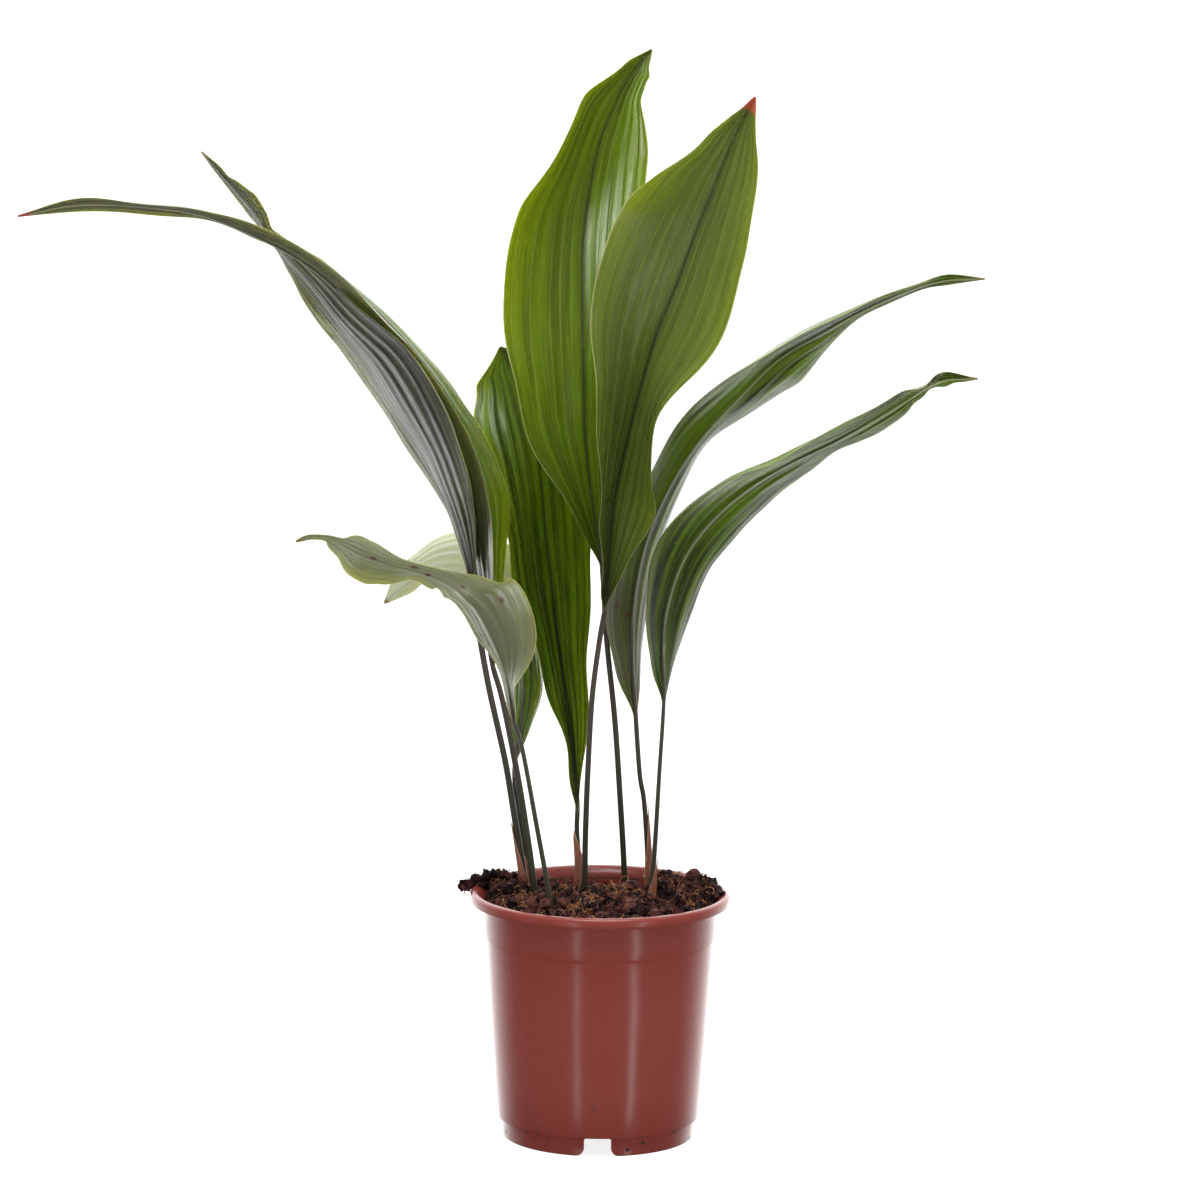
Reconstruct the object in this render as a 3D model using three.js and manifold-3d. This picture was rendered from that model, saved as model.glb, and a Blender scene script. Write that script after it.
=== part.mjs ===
// A potted cast iron plant: nine long leaf blades on slender stalks, five of the stalks with a dry brown
// sheath at their foot, growing from potting soil in a plain plastic nursery pot with a rolled lip and a
// notched foot ring. Millimetres, +Z up. Everything is drawn about the pot's axis, with the foot on z = 0 and
// the front towards -Y. At the end the plant is moved so that its bounding box is centred over the origin.

import * as THREE from "three";
import { mergeVertices } from "three/addons/utils/BufferGeometryUtils.js";
import Module from "manifold-3d";

const wasm = await Module();
wasm.setup();

// Clearances: between touching pieces, and between the end of a stalk and the foot of its blade
const GAP = 0.3;
const STALK_END_GAP = 0.6;

// Pot
const POT = {
  segments: 40,
  height: 143,
  lipRadius: 75,
  lipHeight: 6,
  collarTopRadius: 67.5,
  collarRadius: 67,
  collarHeight: 118,
  bodyTopRadius: 65.8,
  bodyFootRadius: 58.4,
  footHeight: 11,
  footTopRadius: 56.2,
  footRadius: 55.3,
  wall: 1.5,
  footStep: 0.4,
  collarStep: 1.2,
  lipTurn: 1.2,
  lipRound: { width: 3.2, height: 2.2, steps: 3 },
};
const NOTCH = { width: 14.4, flare: 3.2, cornerRadius: 3.2, underFloor: 0.1, count: 2 };
const DRAIN = { radius: 5, circle: 38, count: 4, sides: 16 };

// Soil: its level at the wall, and its mounds as [x, y, height, spread]
const SOIL = { level: 137, crown: 3, rings: [65.2, 60, 50, 39, 27, 14], moundAtWall: 0.5, depthOfRoots: 26 };
const MOUNDS = [
  [-56, 22, 8, 12],
  [-40, -18, 3, 16],
  [50, 26, 8, 13],
  [36, -30, 3, 14],
  [4, 44, 2, 16],
  [-4, -44, 2, 18],
];

// Half a blade's thickness at the midrib, half way out and at the margin, and how finely a blade is divided.
// Where a blade is narrow it is thinner too, so that its folded halves stay apart by `filling`.
const BLADE = {
  midrib: 0.8,
  middle: 0.45,
  margin: 0.3,
  filling: 0.35,
  rings: 20,
  columns: [-1, -0.5, 0, 0.5, 1],
};
const STALK = { sides: 8, rings: 18 };
const SHEATH = { sides: 10, rings: 6, wall: 0.8, depthInSoil: 12 };

const COLOURS = {
  pot: { color: "#84423b", roughness: 0.35 },
  soil: { color: "#3a2420", roughness: 0.95 },
  blade: { color: "#3f6a1c", roughness: 0.45 },
  stalk: { color: "#3b4636", roughness: 0.5 },
  sheath: { color: "#a0684c", roughness: 0.8 },
};

// The leaves, from the left round to the right. A blade is a row of stations from its foot to its tip, each
// [x, y, z, half-width, left angle, right angle]: a point of the midrib, and how far and at what angle its
// two halves stand out, seen from the front. At 0 degrees a half lies across the view. A positive angle
// turns its margin forward, and a negative one back. A stalk is a row of points from under the blade down to
// the soil, with its radius at the top and at the soil. A sheath reaches up the stalk from the soil to the
// height of its mouth.
const LEAVES = [
  {
    name: "left_arching",
    blade: [
      [-63, 12, 271, 2, -95, 60],
      [-67, 12, 290, 12, -115, 60],
      [-72, 11, 313, 23, -130, 62],
      [-77, 8, 343, 33, -133, 66],
      [-81, 6, 368, 36, -134, 64],
      [-92, 3, 397, 38, -129, 62],
      [-110, -2, 431, 38, -116, 58],
      [-128, -9, 462, 34, -103, 63],
      [-146, -17, 485, 28, -100, 64],
      [-167, -27, 505, 22, -98, 62],
      [-191, -34, 519, 17, -80, 60],
      [-226, -40, 534, 14, -74, 71],
      [-263, -44, 540.5, 11, -61, 77],
      [-296, -47, 541, 8, -58, 53],
      [-329, -50, 535, 1, -58, 60],
    ],
    stalk: {
      radii: [1.5, 2.1],
      points: [
        [-58, 11, 254], [-54, 10, 239], [-50, 9, 228], [-49, 8, 209],
        [-44, 7, 183], [-41, 6, 165], [-38, 5, 140],
      ],
    },
  },
  {
    name: "left_outer",
    blade: [
      [-76, 0, 318, 2, -60, 40],
      [-78, 1, 334, 9, -74, 52],
      [-85, 3, 356, 24, -80, 58],
      [-93, 4, 376, 36, -77, 60],
      [-103, 2, 398, 42, -72, 58],
      [-117, -1, 421, 44, -71, 54],
      [-133, -2, 447, 42, -71, 53],
      [-152, 1, 471, 35, -67, 63],
      [-170, 12, 492, 23, -62, 78],
      [-191, 21, 515, 16, -76, 84],
      [-202, 22, 528, 15, -74, 55],
      [-212, 25, 542, 11, -71, 54],
      [-232, 32, 564, 1, -60, 54],
    ],
    stalk: {
      radii: [1.7, 1.9],
      points: [
        [-73, 1, 303], [-71, 2, 289], [-65, 4, 259], [-60, 6, 241],
        [-56, 8, 219], [-51, 10, 194], [-43, 10, 140],
      ],
    },
    sheath: { mouth: 181, slant: 5 },
  },
  {
    name: "left_drooping",
    blade: [
      [-50, -34, 248, 2, -60, 61],
      [-54, -36, 272, 17, -74, 79],
      [-61, -40, 292, 29, -72, 32],
      [-71, -42, 312, 36, -72, 31],
      [-78, -44, 320, 37, -70, 42],
      [-85, -46, 327, 36, -69, 60],
      [-101, -50, 335, 33, -72, 70],
      [-119, -54, 340, 27, -56, 67],
      [-136, -57, 346, 23, -48, 55],
      [-148, -58, 352.5, 14, -58, 55],
      [-155, -60, 356.5, 6, -65, 60],
      [-165, -61, 357.5, 5, -65, 65],
      [-173, -62, 355, 1, -50, 50],
    ],
    stalk: {
      radii: [1.2, 1.5],
      points: [
        [-45, -36, 234], [-42, -37, 215], [-37, -38, 192],
        [-35, -38, 175], [-32, -38, 163], [-28, -38, 140],
      ],
    },
  },
  {
    name: "left_rear",
    blade: [
      [-50, 20, 215, 2, -60, -60],
      [-47, 24, 235, 14, -50, -65],
      [-45, 30, 257, 22, -62, -66],
      [-49, 40, 283, 28, -70, -70],
      [-60, 50, 305, 31, -75, -50],
      [-78, 58, 316, 31, -75, -38],
      [-95, 64, 317, 28, -75, -45],
      [-109, 68, 313, 19, -70, -55],
      [-119, 71, 306, 11, -50, -50],
      [-128, 74, 297, 1, -45, -50],
    ],
    stalk: { radii: [1.4, 1.6], points: [[-50, 20, 201], [-48, 21, 189], [-45, 22, 168], [-41, 22, 138]] },
    sheath: { mouth: 163, slant: 4 },
  },
  {
    name: "centre_rear",
    blade: [
      [-14, 48, 187, 3, 49, 69],
      [-17, 52, 214, 13, 79, 54],
      [-21, 58, 244, 24, 68, 58],
      [-26, 64, 275, 34, 69, 57],
      [-30, 70, 307, 41, 61, 55],
      [-34, 76, 337, 44, 62, 52],
      [-37, 82, 367, 43, 52, 51],
      [-41, 88, 394, 39, 36, 51],
      [-48, 94, 417, 31, 15, 52],
      [-55, 98, 433, 20, 0, 54],
      [-62, 102, 445, 1, 0, 54],
    ],
    stalk: { radii: [1.4, 1.6], points: [[-14, 45, 168], [-12, 42, 143]] },
    sheath: { mouth: 168, slant: 4 },
  },
  {
    name: "centre_tall",
    blade: [
      [-1, 34, 327, 2, 56, 61],
      [-4, 36, 345, 15, 65, 68],
      [-8, 38, 371, 30, 56, 63],
      [-12, 40, 405, 42, 41, 60],
      [-13, 42, 440, 47, 30, 56],
      [-14, 46, 474, 48, 20, 52],
      [-14, 50, 508, 47, 26, 46],
      [-11, 54, 539, 42, 40, 42],
      [-5, 58, 570, 35, 56, 37],
      [4, 62, 592, 24, 47, 45],
      [13, 66, 609, 12, 55, 39],
      [24, 70, 622, 1, 50, 40],
    ],
    stalk: { radii: [1.6, 1.8], points: [[2, 36, 284], [7, 38, 239], [10, 40, 195], [14, 42, 142]] },
  },
  {
    name: "centre_front",
    blade: [
      [1, 2, 309, 2, 60, 77],
      [2, -2, 331, 16, 79, 61],
      [5, -8, 369, 30, 78, 45],
      [11, -14, 401, 41, 71, 62],
      [19, -20, 436, 46, 60, 64],
      [28, -25, 469, 48, 39, 54],
      [39, -30, 499, 48, 20, 44],
      [49, -34, 528, 43, 6, 46],
      [58, -38, 552, 36, 29, 48],
      [67, -42, 576, 24, 46, 41],
      [74, -45, 592, 13, 49, 49],
      [81, -48, 606, 1, 49, 49],
    ],
    stalk: {
      radii: [1.5, 1.8],
      points: [[-2, 2, 290], [-6, 4, 255], [-8, 8, 211], [-9, 11, 171], [-9, 12, 140]],
    },
  },
  {
    name: "right_upper",
    blade: [
      [19, 30, 244, 3, 50, -62],
      [17, 32, 270, 19, 57, -79],
      [17, 34, 302, 28, 57, -74],
      [23, 36, 338, 34, 66, -72],
      [36, 38, 371, 37, 66, -76],
      [54, 40, 400, 38, 58, -79],
      [75, 42, 423, 36, 61, -68],
      [99, 44, 447, 32, 72, -50],
      [124, 46, 462, 26, 71, -62],
      [149, 48, 476, 18, 70, -73],
      [178, 50, 488.5, 10, 72, -76],
      [196, 51, 493, 7, 50, -55],
      [217, 52, 494, 1, 60, -60],
    ],
    stalk: { radii: [1.4, 1.5], points: [[22, 32, 206], [25, 33, 187], [28, 34, 141]] },
    sheath: { mouth: 187, slant: 5 },
  },
  {
    name: "right_lower",
    blade: [
      [35, -12, 258, 2, 50, -55],
      [34, -16, 284, 16, 66, -61],
      [36, -20, 311, 26, 62, -55],
      [45, -26, 341, 33, 57, -56],
      [61, -32, 365, 36, 58, -57],
      [81, -38, 384, 35, 63, -60],
      [103, -44, 399, 32, 72, -66],
      [127, -50, 412, 26, 67, -72],
      [150, -55, 426, 20, 63, -64],
      [171, -60, 440, 13, 58, -59],
      [180, -62, 446.5, 9, 76, -78],
      [190, -64, 450.5, 8, 45, -50],
      [207, -66, 452, 1, 60, -60],
    ],
    stalk: { radii: [1.1, 1.6], points: [[33, -10, 215], [31, -7, 171], [29, -6, 140]] },
    sheath: { mouth: 164, slant: 4 },
  },
];

const FRONT = new THREE.Vector3(0, -1, 0);
const vector = ([x, y, z]) => new THREE.Vector3(x, y, z);
const smoothCurve = (points) => new THREE.CatmullRomCurve3(points, false, "catmullrom", 0.5);

// Two directions square to a curve's run: to the front, and to the side
function acrossRun(along) {
  const front = FRONT.clone().addScaledVector(along, -FRONT.dot(along)).normalize();
  const side = new THREE.Vector3().crossVectors(along, front);
  return { front, side };
}

// A closed solid through rings of points. A ring's first half is its front side and its second half its rear
// side, so each end closes with a strip between the two. Both sides fold along the same diagonals, so that a
// thin sheet that twists keeps its thickness.
function loft(rings) {
  const size = rings[0].length;
  const index = [];
  const quad = (a, b, c, d) => index.push(a, b, c, a, c, d);
  for (let i = 0; i + 1 < rings.length; i++) {
    for (let j = 0; j < size; j++) {
      const next = (j + 1) % size;
      const [a, b, c, d] = [i * size + j, i * size + next, (i + 1) * size + next, (i + 1) * size + j];
      if (j < size / 2) quad(a, b, c, d);
      else quad(b, c, d, a);
    }
  }
  const last = (rings.length - 1) * size;
  for (let j = 0; j < size / 2 - 1; j++) {
    quad(j, size - 1 - j, size - 2 - j, j + 1);
    quad(last + j, last + j + 1, last + size - 2 - j, last + size - 1 - j);
  }
  const geometry = new THREE.BufferGeometry();
  const places = rings.flat().flatMap((p) => [p.x, p.y, p.z]);
  geometry.setAttribute("position", new THREE.Float32BufferAttribute(places, 3));
  geometry.setIndex(index);
  return geometry;
}

// Solids for cutting, and back again
function solidOf(geometry) {
  const bare = geometry.clone();
  bare.deleteAttribute("normal");
  bare.deleteAttribute("uv");
  const merged = mergeVertices(bare, 1e-3);
  return new wasm.Manifold(
    new wasm.Mesh({
      numProp: 3,
      vertProperties: merged.attributes.position.array,
      triVerts: new Uint32Array(merged.index.array),
    }),
  );
}

function geometryOf(solid) {
  const mesh = solid.getMesh();
  const geometry = new THREE.BufferGeometry();
  geometry.setAttribute("position", new THREE.BufferAttribute(mesh.vertProperties, 3));
  geometry.setIndex(new THREE.BufferAttribute(mesh.triVerts, 1));
  return geometry;
}

function lathe(profile) {
  const points = profile.map(([radius, z]) => new THREE.Vector2(radius, z));
  return new THREE.LatheGeometry(points, POT.segments).rotateX(Math.PI / 2);
}

// Pot: a thin wall turned about its axis, with a collar under the lip and a raised floor in the foot ring
const floorTop = POT.footHeight + POT.wall;

function potGeometry() {
  const lipFoot = POT.height - POT.lipHeight;
  const { wall, footStep, collarStep, lipTurn, lipRound } = POT;
  const profile = [
    [0, POT.footHeight],
    [POT.footTopRadius - wall, POT.footHeight],
    [POT.footRadius - wall, 0],
    [POT.footRadius, 0],
    [POT.footTopRadius, POT.footHeight - footStep],
    [POT.bodyFootRadius, POT.footHeight],
    [POT.bodyTopRadius, POT.collarHeight - collarStep],
    [POT.collarRadius, POT.collarHeight],
    [POT.collarTopRadius, lipFoot - lipTurn],
    [POT.collarTopRadius + lipTurn, lipFoot],
    [POT.lipRadius - lipTurn, lipFoot],
    [POT.lipRadius, lipFoot + lipTurn],
    ...lipTop(),
    [POT.lipRadius - lipRound.width - wall, POT.height - lipTurn],
    [POT.collarTopRadius - wall + lipTurn, lipFoot + lipTurn],
    [POT.collarTopRadius - wall, lipFoot - lipTurn],
    [POT.collarRadius - wall, POT.collarHeight],
    [POT.bodyTopRadius - wall, POT.collarHeight - collarStep],
    [POT.bodyFootRadius - wall, floorTop],
    [0, floorTop],
  ];
  let solid = solidOf(lathe(profile));
  for (let i = 0; i < NOTCH.count; i++) {
    solid = solid.subtract(solidOf(notchGeometry().rotateZ((i * Math.PI) / NOTCH.count)));
  }
  for (let i = 0; i < DRAIN.count; i++) {
    const turn = ((i + 0.5) * 2 * Math.PI) / DRAIN.count;
    const hole = new THREE.CylinderGeometry(DRAIN.radius, DRAIN.radius, 4 * POT.wall, DRAIN.sides);
    hole.rotateX(Math.PI / 2);
    hole.translate(DRAIN.circle * Math.cos(turn), DRAIN.circle * Math.sin(turn), floorTop);
    solid = solid.subtract(solidOf(hole));
  }
  return geometryOf(solid);
}

// The rounded outer edge of the lip, from its outer face up to its top
function lipTop() {
  const { width, height, steps } = POT.lipRound;
  const points = [];
  for (let i = 0; i <= steps; i++) {
    const turn = ((i / steps) * Math.PI) / 2;
    points.push([
      POT.lipRadius - width * (1 - Math.cos(turn)),
      POT.height - height * (1 - Math.sin(turn)),
    ]);
  }
  return points;
}

// One notch right across the foot ring: an arch with upright sides that flares out at the bottom
function notchGeometry() {
  const half = NOTCH.width / 2;
  const foot = half + NOTCH.flare;
  const roof = POT.footHeight - NOTCH.underFloor;
  const arch = new THREE.Shape();
  arch.moveTo(-foot, -1);
  arch.lineTo(foot, -1);
  arch.lineTo(foot, 0);
  arch.quadraticCurveTo(half, 0, half, NOTCH.cornerRadius);
  arch.lineTo(half, roof);
  arch.lineTo(-half, roof);
  arch.lineTo(-half, NOTCH.cornerRadius);
  arch.quadraticCurveTo(-half, 0, -foot, 0);
  arch.closePath();
  const length = 4 * POT.lipRadius;
  const cutter = new THREE.ExtrudeGeometry(arch, { depth: length, bevelEnabled: false, curveSegments: 4 });
  return cutter.rotateX(Math.PI / 2).translate(0, length / 2, 0);
}

// Stalk: a round sweep that widens towards the soil, and reaches below its surface. For the socket that it
// stands in, `grow` widens it and reaches that much deeper.
function stalkRun(leaf, grow = 0) {
  const foot = leaf.blade.map(vector);
  const along = smoothCurve(foot).getTangent(0);
  const top = foot[0].clone().addScaledVector(along, -STALK_END_GAP);
  const points = leaf.stalk.points.map(vector);
  const root = points[points.length - 1].clone();
  root.z = SOIL.level - SOIL.depthOfRoots - grow;
  return smoothCurve([top, ...points, root]);
}

function roundRing(curve, t, radius, sides) {
  const centre = curve.getPointAt(t);
  const { front, side } = acrossRun(curve.getTangentAt(t));
  const ring = [];
  for (let j = 0; j < sides; j++) {
    const turn = ((j + 0.5) / sides) * 2 * Math.PI;
    const point = centre.clone().addScaledVector(side, -radius * Math.cos(turn));
    ring.push(point.addScaledVector(front, radius * Math.sin(turn)));
  }
  return ring;
}

function stalkGeometry(leaf, grow = 0) {
  const curve = stalkRun(leaf, grow);
  const [top, bottom] = leaf.stalk.radii;
  const rings = [];
  for (let i = 0; i <= STALK.rings; i++) {
    const t = i / STALK.rings;
    rings.push(roundRing(curve, t, THREE.MathUtils.lerp(top, bottom, t) + grow, STALK.sides));
  }
  return loft(rings);
}

// Sheath: a thin sleeve round the foot of a stalk, torn off at a slant
function sheathGeometry(leaf) {
  const curve = stalkRun(leaf);
  const inner = Math.max(...leaf.stalk.radii) + GAP;
  const lowest = SOIL.level - SHEATH.depthInSoil;
  const strips = [];
  for (let j = 0; j < SHEATH.sides; j++) {
    const turn = (j / SHEATH.sides) * 2 * Math.PI;
    const mouth = leaf.sheath.mouth + leaf.sheath.slant * Math.cos(turn);
    const strip = [];
    for (const radius of [inner + SHEATH.wall, inner]) {
      for (let i = 0; i <= SHEATH.rings; i++) {
        const share = radius === inner ? 1 - i / SHEATH.rings : i / SHEATH.rings;
        const t = heightOnCurve(curve, THREE.MathUtils.lerp(lowest, mouth, share));
        const { front, side } = acrossRun(curve.getTangentAt(t));
        const point = curve.getPointAt(t).addScaledVector(side, radius * Math.cos(turn));
        strip.push(point.addScaledVector(front, radius * Math.sin(turn)));
      }
    }
    strips.push(strip);
  }
  return closedBand(strips);
}

// A ring-shaped solid from strips that each run up the outside and down the inside
function closedBand(strips) {
  const size = strips[0].length;
  const index = [];
  for (let i = 0; i < strips.length; i++) {
    const next = (i + 1) % strips.length;
    for (let j = 0; j < size; j++) {
      const above = (j + 1) % size;
      const [a, b, c, d] = [i * size + j, next * size + j, next * size + above, i * size + above];
      index.push(a, b, c, a, c, d);
    }
  }
  const geometry = new THREE.BufferGeometry();
  const places = strips.flat().flatMap((p) => [p.x, p.y, p.z]);
  geometry.setAttribute("position", new THREE.Float32BufferAttribute(places, 3));
  geometry.setIndex(index);
  return geometry;
}

// How far along a stalk, which only ever falls, a height lies
function heightOnCurve(curve, z) {
  let [above, below] = [0, 1];
  while (below - above > 1e-6) {
    const middle = (above + below) / 2;
    if (curve.getPointAt(middle).z > z) above = middle;
    else below = middle;
  }
  return (above + below) / 2;
}

// Blade: a thin sheet folded along its midrib, thickest there and thinnest at its margins
function bladeGeometry(leaf) {
  const spine = smoothCurve(leaf.blade.map(vector));
  const spread = smoothCurve(leaf.blade.map((station) => vector(station.slice(3))));
  const rings = [];
  for (let i = 0; i <= BLADE.rings; i++) {
    const t = i / BLADE.rings;
    const run = acrossRun(spine.getTangent(t));
    const { x: halfWidth, y: left, z: right } = spread.getPoint(t);
    const halves = [bladeHalf(run, left, -1), bladeHalf(run, right, 1)];
    const openness = Math.cos(THREE.MathUtils.degToRad(left + right) / 2);
    const midribFacing = halves[0].facing.clone().add(halves[1].facing).normalize();
    const faceSide = [];
    const rearSide = [];
    for (const column of BLADE.columns) {
      const { across, facing } = halves[column < 0 ? 0 : 1];
      const outward = Math.abs(column);
      const point = spine.getPoint(t).addScaledVector(across, outward * halfWidth);
      const normal = outward === 0 ? midribFacing : facing;
      const thickness = Math.min(bladeThickness(outward), BLADE.filling * halfWidth * openness);
      faceSide.push(point.clone().addScaledVector(normal, thickness));
      rearSide.unshift(point.clone().addScaledVector(normal, -thickness));
    }
    rings.push([...faceSide, ...rearSide]);
  }
  return loft(rings);
}

// The way that one half of a blade stands out from the midrib, and the way that its upper face looks
function bladeHalf({ front, side }, degrees, hand) {
  const angle = THREE.MathUtils.degToRad(degrees);
  const across = side.clone().multiplyScalar(hand * Math.cos(angle)).addScaledVector(front, Math.sin(angle));
  const facing = side.clone().multiplyScalar(-hand * Math.sin(angle)).addScaledVector(front, Math.cos(angle));
  return { across, facing };
}

function bladeThickness(outward) {
  if (outward === 0) return BLADE.midrib;
  return outward < 1 ? BLADE.middle : BLADE.margin;
}

// Soil: it fills the pot up to the lip and heaps above it, with a socket for each stalk and sheath
function soilGeometry() {
  const wallAtTop = SOIL.rings[0];
  const clear = POT.wall + GAP;
  const profile = [
    [0, floorTop + GAP],
    [POT.bodyFootRadius - clear, floorTop + GAP],
    [POT.bodyTopRadius - clear, POT.collarHeight - POT.collarStep],
    [wallAtTop, POT.collarHeight],
    ...SOIL.rings.map((radius) => [radius, SOIL.level]),
    [0, SOIL.level],
  ];
  const heap = lathe(profile);
  const place = heap.getAttribute("position");
  for (let i = 0; i < place.count; i++) {
    if (place.getZ(i) > SOIL.level - 1) place.setZ(i, SOIL.level + heapHeight(place.getX(i), place.getY(i)));
  }
  let solid = solidOf(heap);
  for (const leaf of LEAVES) {
    solid = solid.subtract(solidOf(stalkGeometry(leaf, GAP)));
    if (leaf.sheath) solid = solid.subtract(sheathSocket(leaf));
  }
  return geometryOf(solid);
}

function heapHeight(x, y) {
  const wallward = Math.hypot(x, y) / SOIL.rings[0];
  const mounds = MOUNDS.reduce((sum, [mx, my, height, spread]) => {
    return sum + height * Math.exp(-((x - mx) ** 2 + (y - my) ** 2) / (2 * spread ** 2));
  }, 0);
  const moundShare = wallward < 0.99 ? 1 : SOIL.moundAtWall;
  return SOIL.crown * (1 - wallward ** 4) + moundShare * mounds;
}

// Room for a sheath round its stalk
function sheathSocket(leaf) {
  const curve = stalkRun(leaf);
  const radius = Math.max(...leaf.stalk.radii) + GAP + SHEATH.wall + GAP;
  const lowest = SOIL.level - SHEATH.depthInSoil - GAP;
  const rings = [];
  for (let i = 0; i <= 2 * SHEATH.rings; i++) {
    const z = THREE.MathUtils.lerp(leaf.sheath.mouth, lowest, i / (2 * SHEATH.rings));
    rings.push(roundRing(curve, heightOnCurve(curve, z), radius, 2 * SHEATH.sides));
  }
  return solidOf(loft(rings));
}

// The plant, piece by piece
const plant = new THREE.Group();

function addPiece(name, geometry, look) {
  const mesh = new THREE.Mesh(geometry, new THREE.MeshStandardMaterial({ ...look, metalness: 0 }));
  mesh.name = name;
  plant.add(mesh);
}

addPiece("pot", potGeometry(), COLOURS.pot);
addPiece("soil", soilGeometry(), COLOURS.soil);
for (const leaf of LEAVES) {
  addPiece(`blade_${leaf.name}`, bladeGeometry(leaf), COLOURS.blade);
  addPiece(`stalk_${leaf.name}`, stalkGeometry(leaf), COLOURS.stalk);
  if (leaf.sheath) addPiece(`sheath_${leaf.name}`, sheathGeometry(leaf), COLOURS.sheath);
}

const box = new THREE.Box3().setFromObject(plant);
const middle = box.getCenter(new THREE.Vector3());
plant.position.set(-middle.x, -middle.y, -box.min.z);

export default plant;
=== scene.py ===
import math

import bmesh
import bpy
import numpy as np
from mathutils import Matrix, Vector, noise


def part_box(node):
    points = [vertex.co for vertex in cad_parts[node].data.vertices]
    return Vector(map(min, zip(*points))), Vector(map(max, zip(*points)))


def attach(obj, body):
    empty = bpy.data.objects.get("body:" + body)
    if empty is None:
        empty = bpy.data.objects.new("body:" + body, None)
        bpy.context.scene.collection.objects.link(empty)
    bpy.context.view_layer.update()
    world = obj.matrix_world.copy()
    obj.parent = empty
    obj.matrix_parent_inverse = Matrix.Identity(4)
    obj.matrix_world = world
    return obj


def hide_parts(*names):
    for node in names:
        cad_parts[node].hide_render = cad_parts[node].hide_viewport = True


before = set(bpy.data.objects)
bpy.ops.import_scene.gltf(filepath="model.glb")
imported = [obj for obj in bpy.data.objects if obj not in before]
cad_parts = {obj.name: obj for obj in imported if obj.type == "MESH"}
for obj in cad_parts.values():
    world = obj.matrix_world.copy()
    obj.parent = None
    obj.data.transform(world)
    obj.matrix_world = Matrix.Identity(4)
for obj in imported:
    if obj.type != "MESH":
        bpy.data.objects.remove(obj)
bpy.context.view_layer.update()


# View of the photograph: a long lens, a little above the leaves, looking slightly down at the pot.
# Places are given in millimetres from the pot's axis at its foot, with the viewer towards -Y.

MM = 0.001
PICTURE_PIXELS = 1200
FOCAL_PIXELS = 6215
SENSOR_WIDTH = 36.0
EYE = (-2.1, -3500.0, 912.0)
PITCH_DOWN = 9.71
ROLL = 0.65
FARTHEST_SEEN = 100

pot_low, pot_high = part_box("pot")
POT_AXIS = Vector(((pot_low.x + pot_high.x) / 2, (pot_low.y + pot_high.y) / 2, 0.0))


def from_pot(x, y, z):
    return POT_AXIS + Vector((x, y, z)) * MM


def link(thing):
    bpy.context.scene.collection.objects.link(thing)
    return thing


view = bpy.data.cameras.new("view")
view.sensor_width = SENSOR_WIDTH
view.lens = FOCAL_PIXELS / PICTURE_PIXELS * SENSOR_WIDTH
view.clip_end = FARTHEST_SEEN
camera = link(bpy.data.objects.new("view", view))
camera.matrix_world = (
    Matrix.Translation(from_pot(*EYE))
    @ Matrix.Rotation(math.radians(90 - PITCH_DOWN), 4, "X")
    @ Matrix.Rotation(math.radians(ROLL), 4, "Z")
)
bpy.context.scene.camera = camera


# Studio: a white floor without edges in the view, a bright white background that shines through the
# leaves from behind and above, two narrow upright lights in front that draw lines down the pot, and a
# broad light above.

FLOOR_SIZE = 60.0
FLOOR_WHITE = 0.5
FLOOR_GLOW_SEEN = 0.84
SKY_IN_FRONT = 0.24

# A part of the sky is the axis that it lies along, where on it the part begins and is full, and its strength.
SKY_PARTS = (("Y", 0.05, 0.95, 2.35), ("Z", 0.4, 0.9, 0.6))
SKY_FADES_OUT = (-0.62, -0.22)
SKY_LOWEST_SHARE = 0.12
LIGHT_DISTANCE = 1.9

bpy.context.scene.view_settings.view_transform = "Standard"


def node_in(tree, kind, **values):
    node = tree.nodes.new(kind)
    for name, value in values.items():
        setattr(node, name, value)
    return node


def join(tree, *pairs):
    """Links each output to its input."""
    for source, target in pairs:
        tree.links.new(source, target)


def preset(node, values):
    """Gives each named input a value of its own."""
    for label, value in values.items():
        node.inputs[label].default_value = value


def new_material(name):
    material = bpy.data.materials.new(name)
    material.use_nodes = True
    return material, material.node_tree, material.node_tree.nodes["Principled BSDF"]


def mesh_object(name, points, faces, smooth=True):
    mesh = bpy.data.meshes.new(name)
    mesh.from_pydata([tuple(p) for p in points], [], [tuple(f) for f in faces])
    mesh.update()
    if smooth:
        mesh.shade_smooth()
    return link(bpy.data.objects.new(name, mesh))


half = FLOOR_SIZE / 2
floor = mesh_object(
    "studio_floor",
    [(-half, -half, 0), (half, -half, 0), (half, half, 0), (-half, half, 0)],
    [(0, 1, 2, 3)],
    smooth=False,
)
floor_material, floor_tree, floor_shader = new_material("floor_white")
preset(floor_shader, {
    "Base Color": (FLOOR_WHITE, FLOOR_WHITE, FLOOR_WHITE, 1), "Roughness": 0.9,
    "Specular IOR Level": 0.0, "Emission Color": (1, 1, 1, 1),
})
seen = node_in(floor_tree, "ShaderNodeMath", operation="MULTIPLY")
seen.inputs[1].default_value = FLOOR_GLOW_SEEN
join(
    floor_tree,
    (node_in(floor_tree, "ShaderNodeLightPath").outputs["Is Camera Ray"], seen.inputs[0]),
    (seen.outputs["Value"], floor_shader.inputs["Emission Strength"]),
)
floor.data.materials.append(floor_material)
floor.visible_glossy = False
floor.visible_shadow = False

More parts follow.
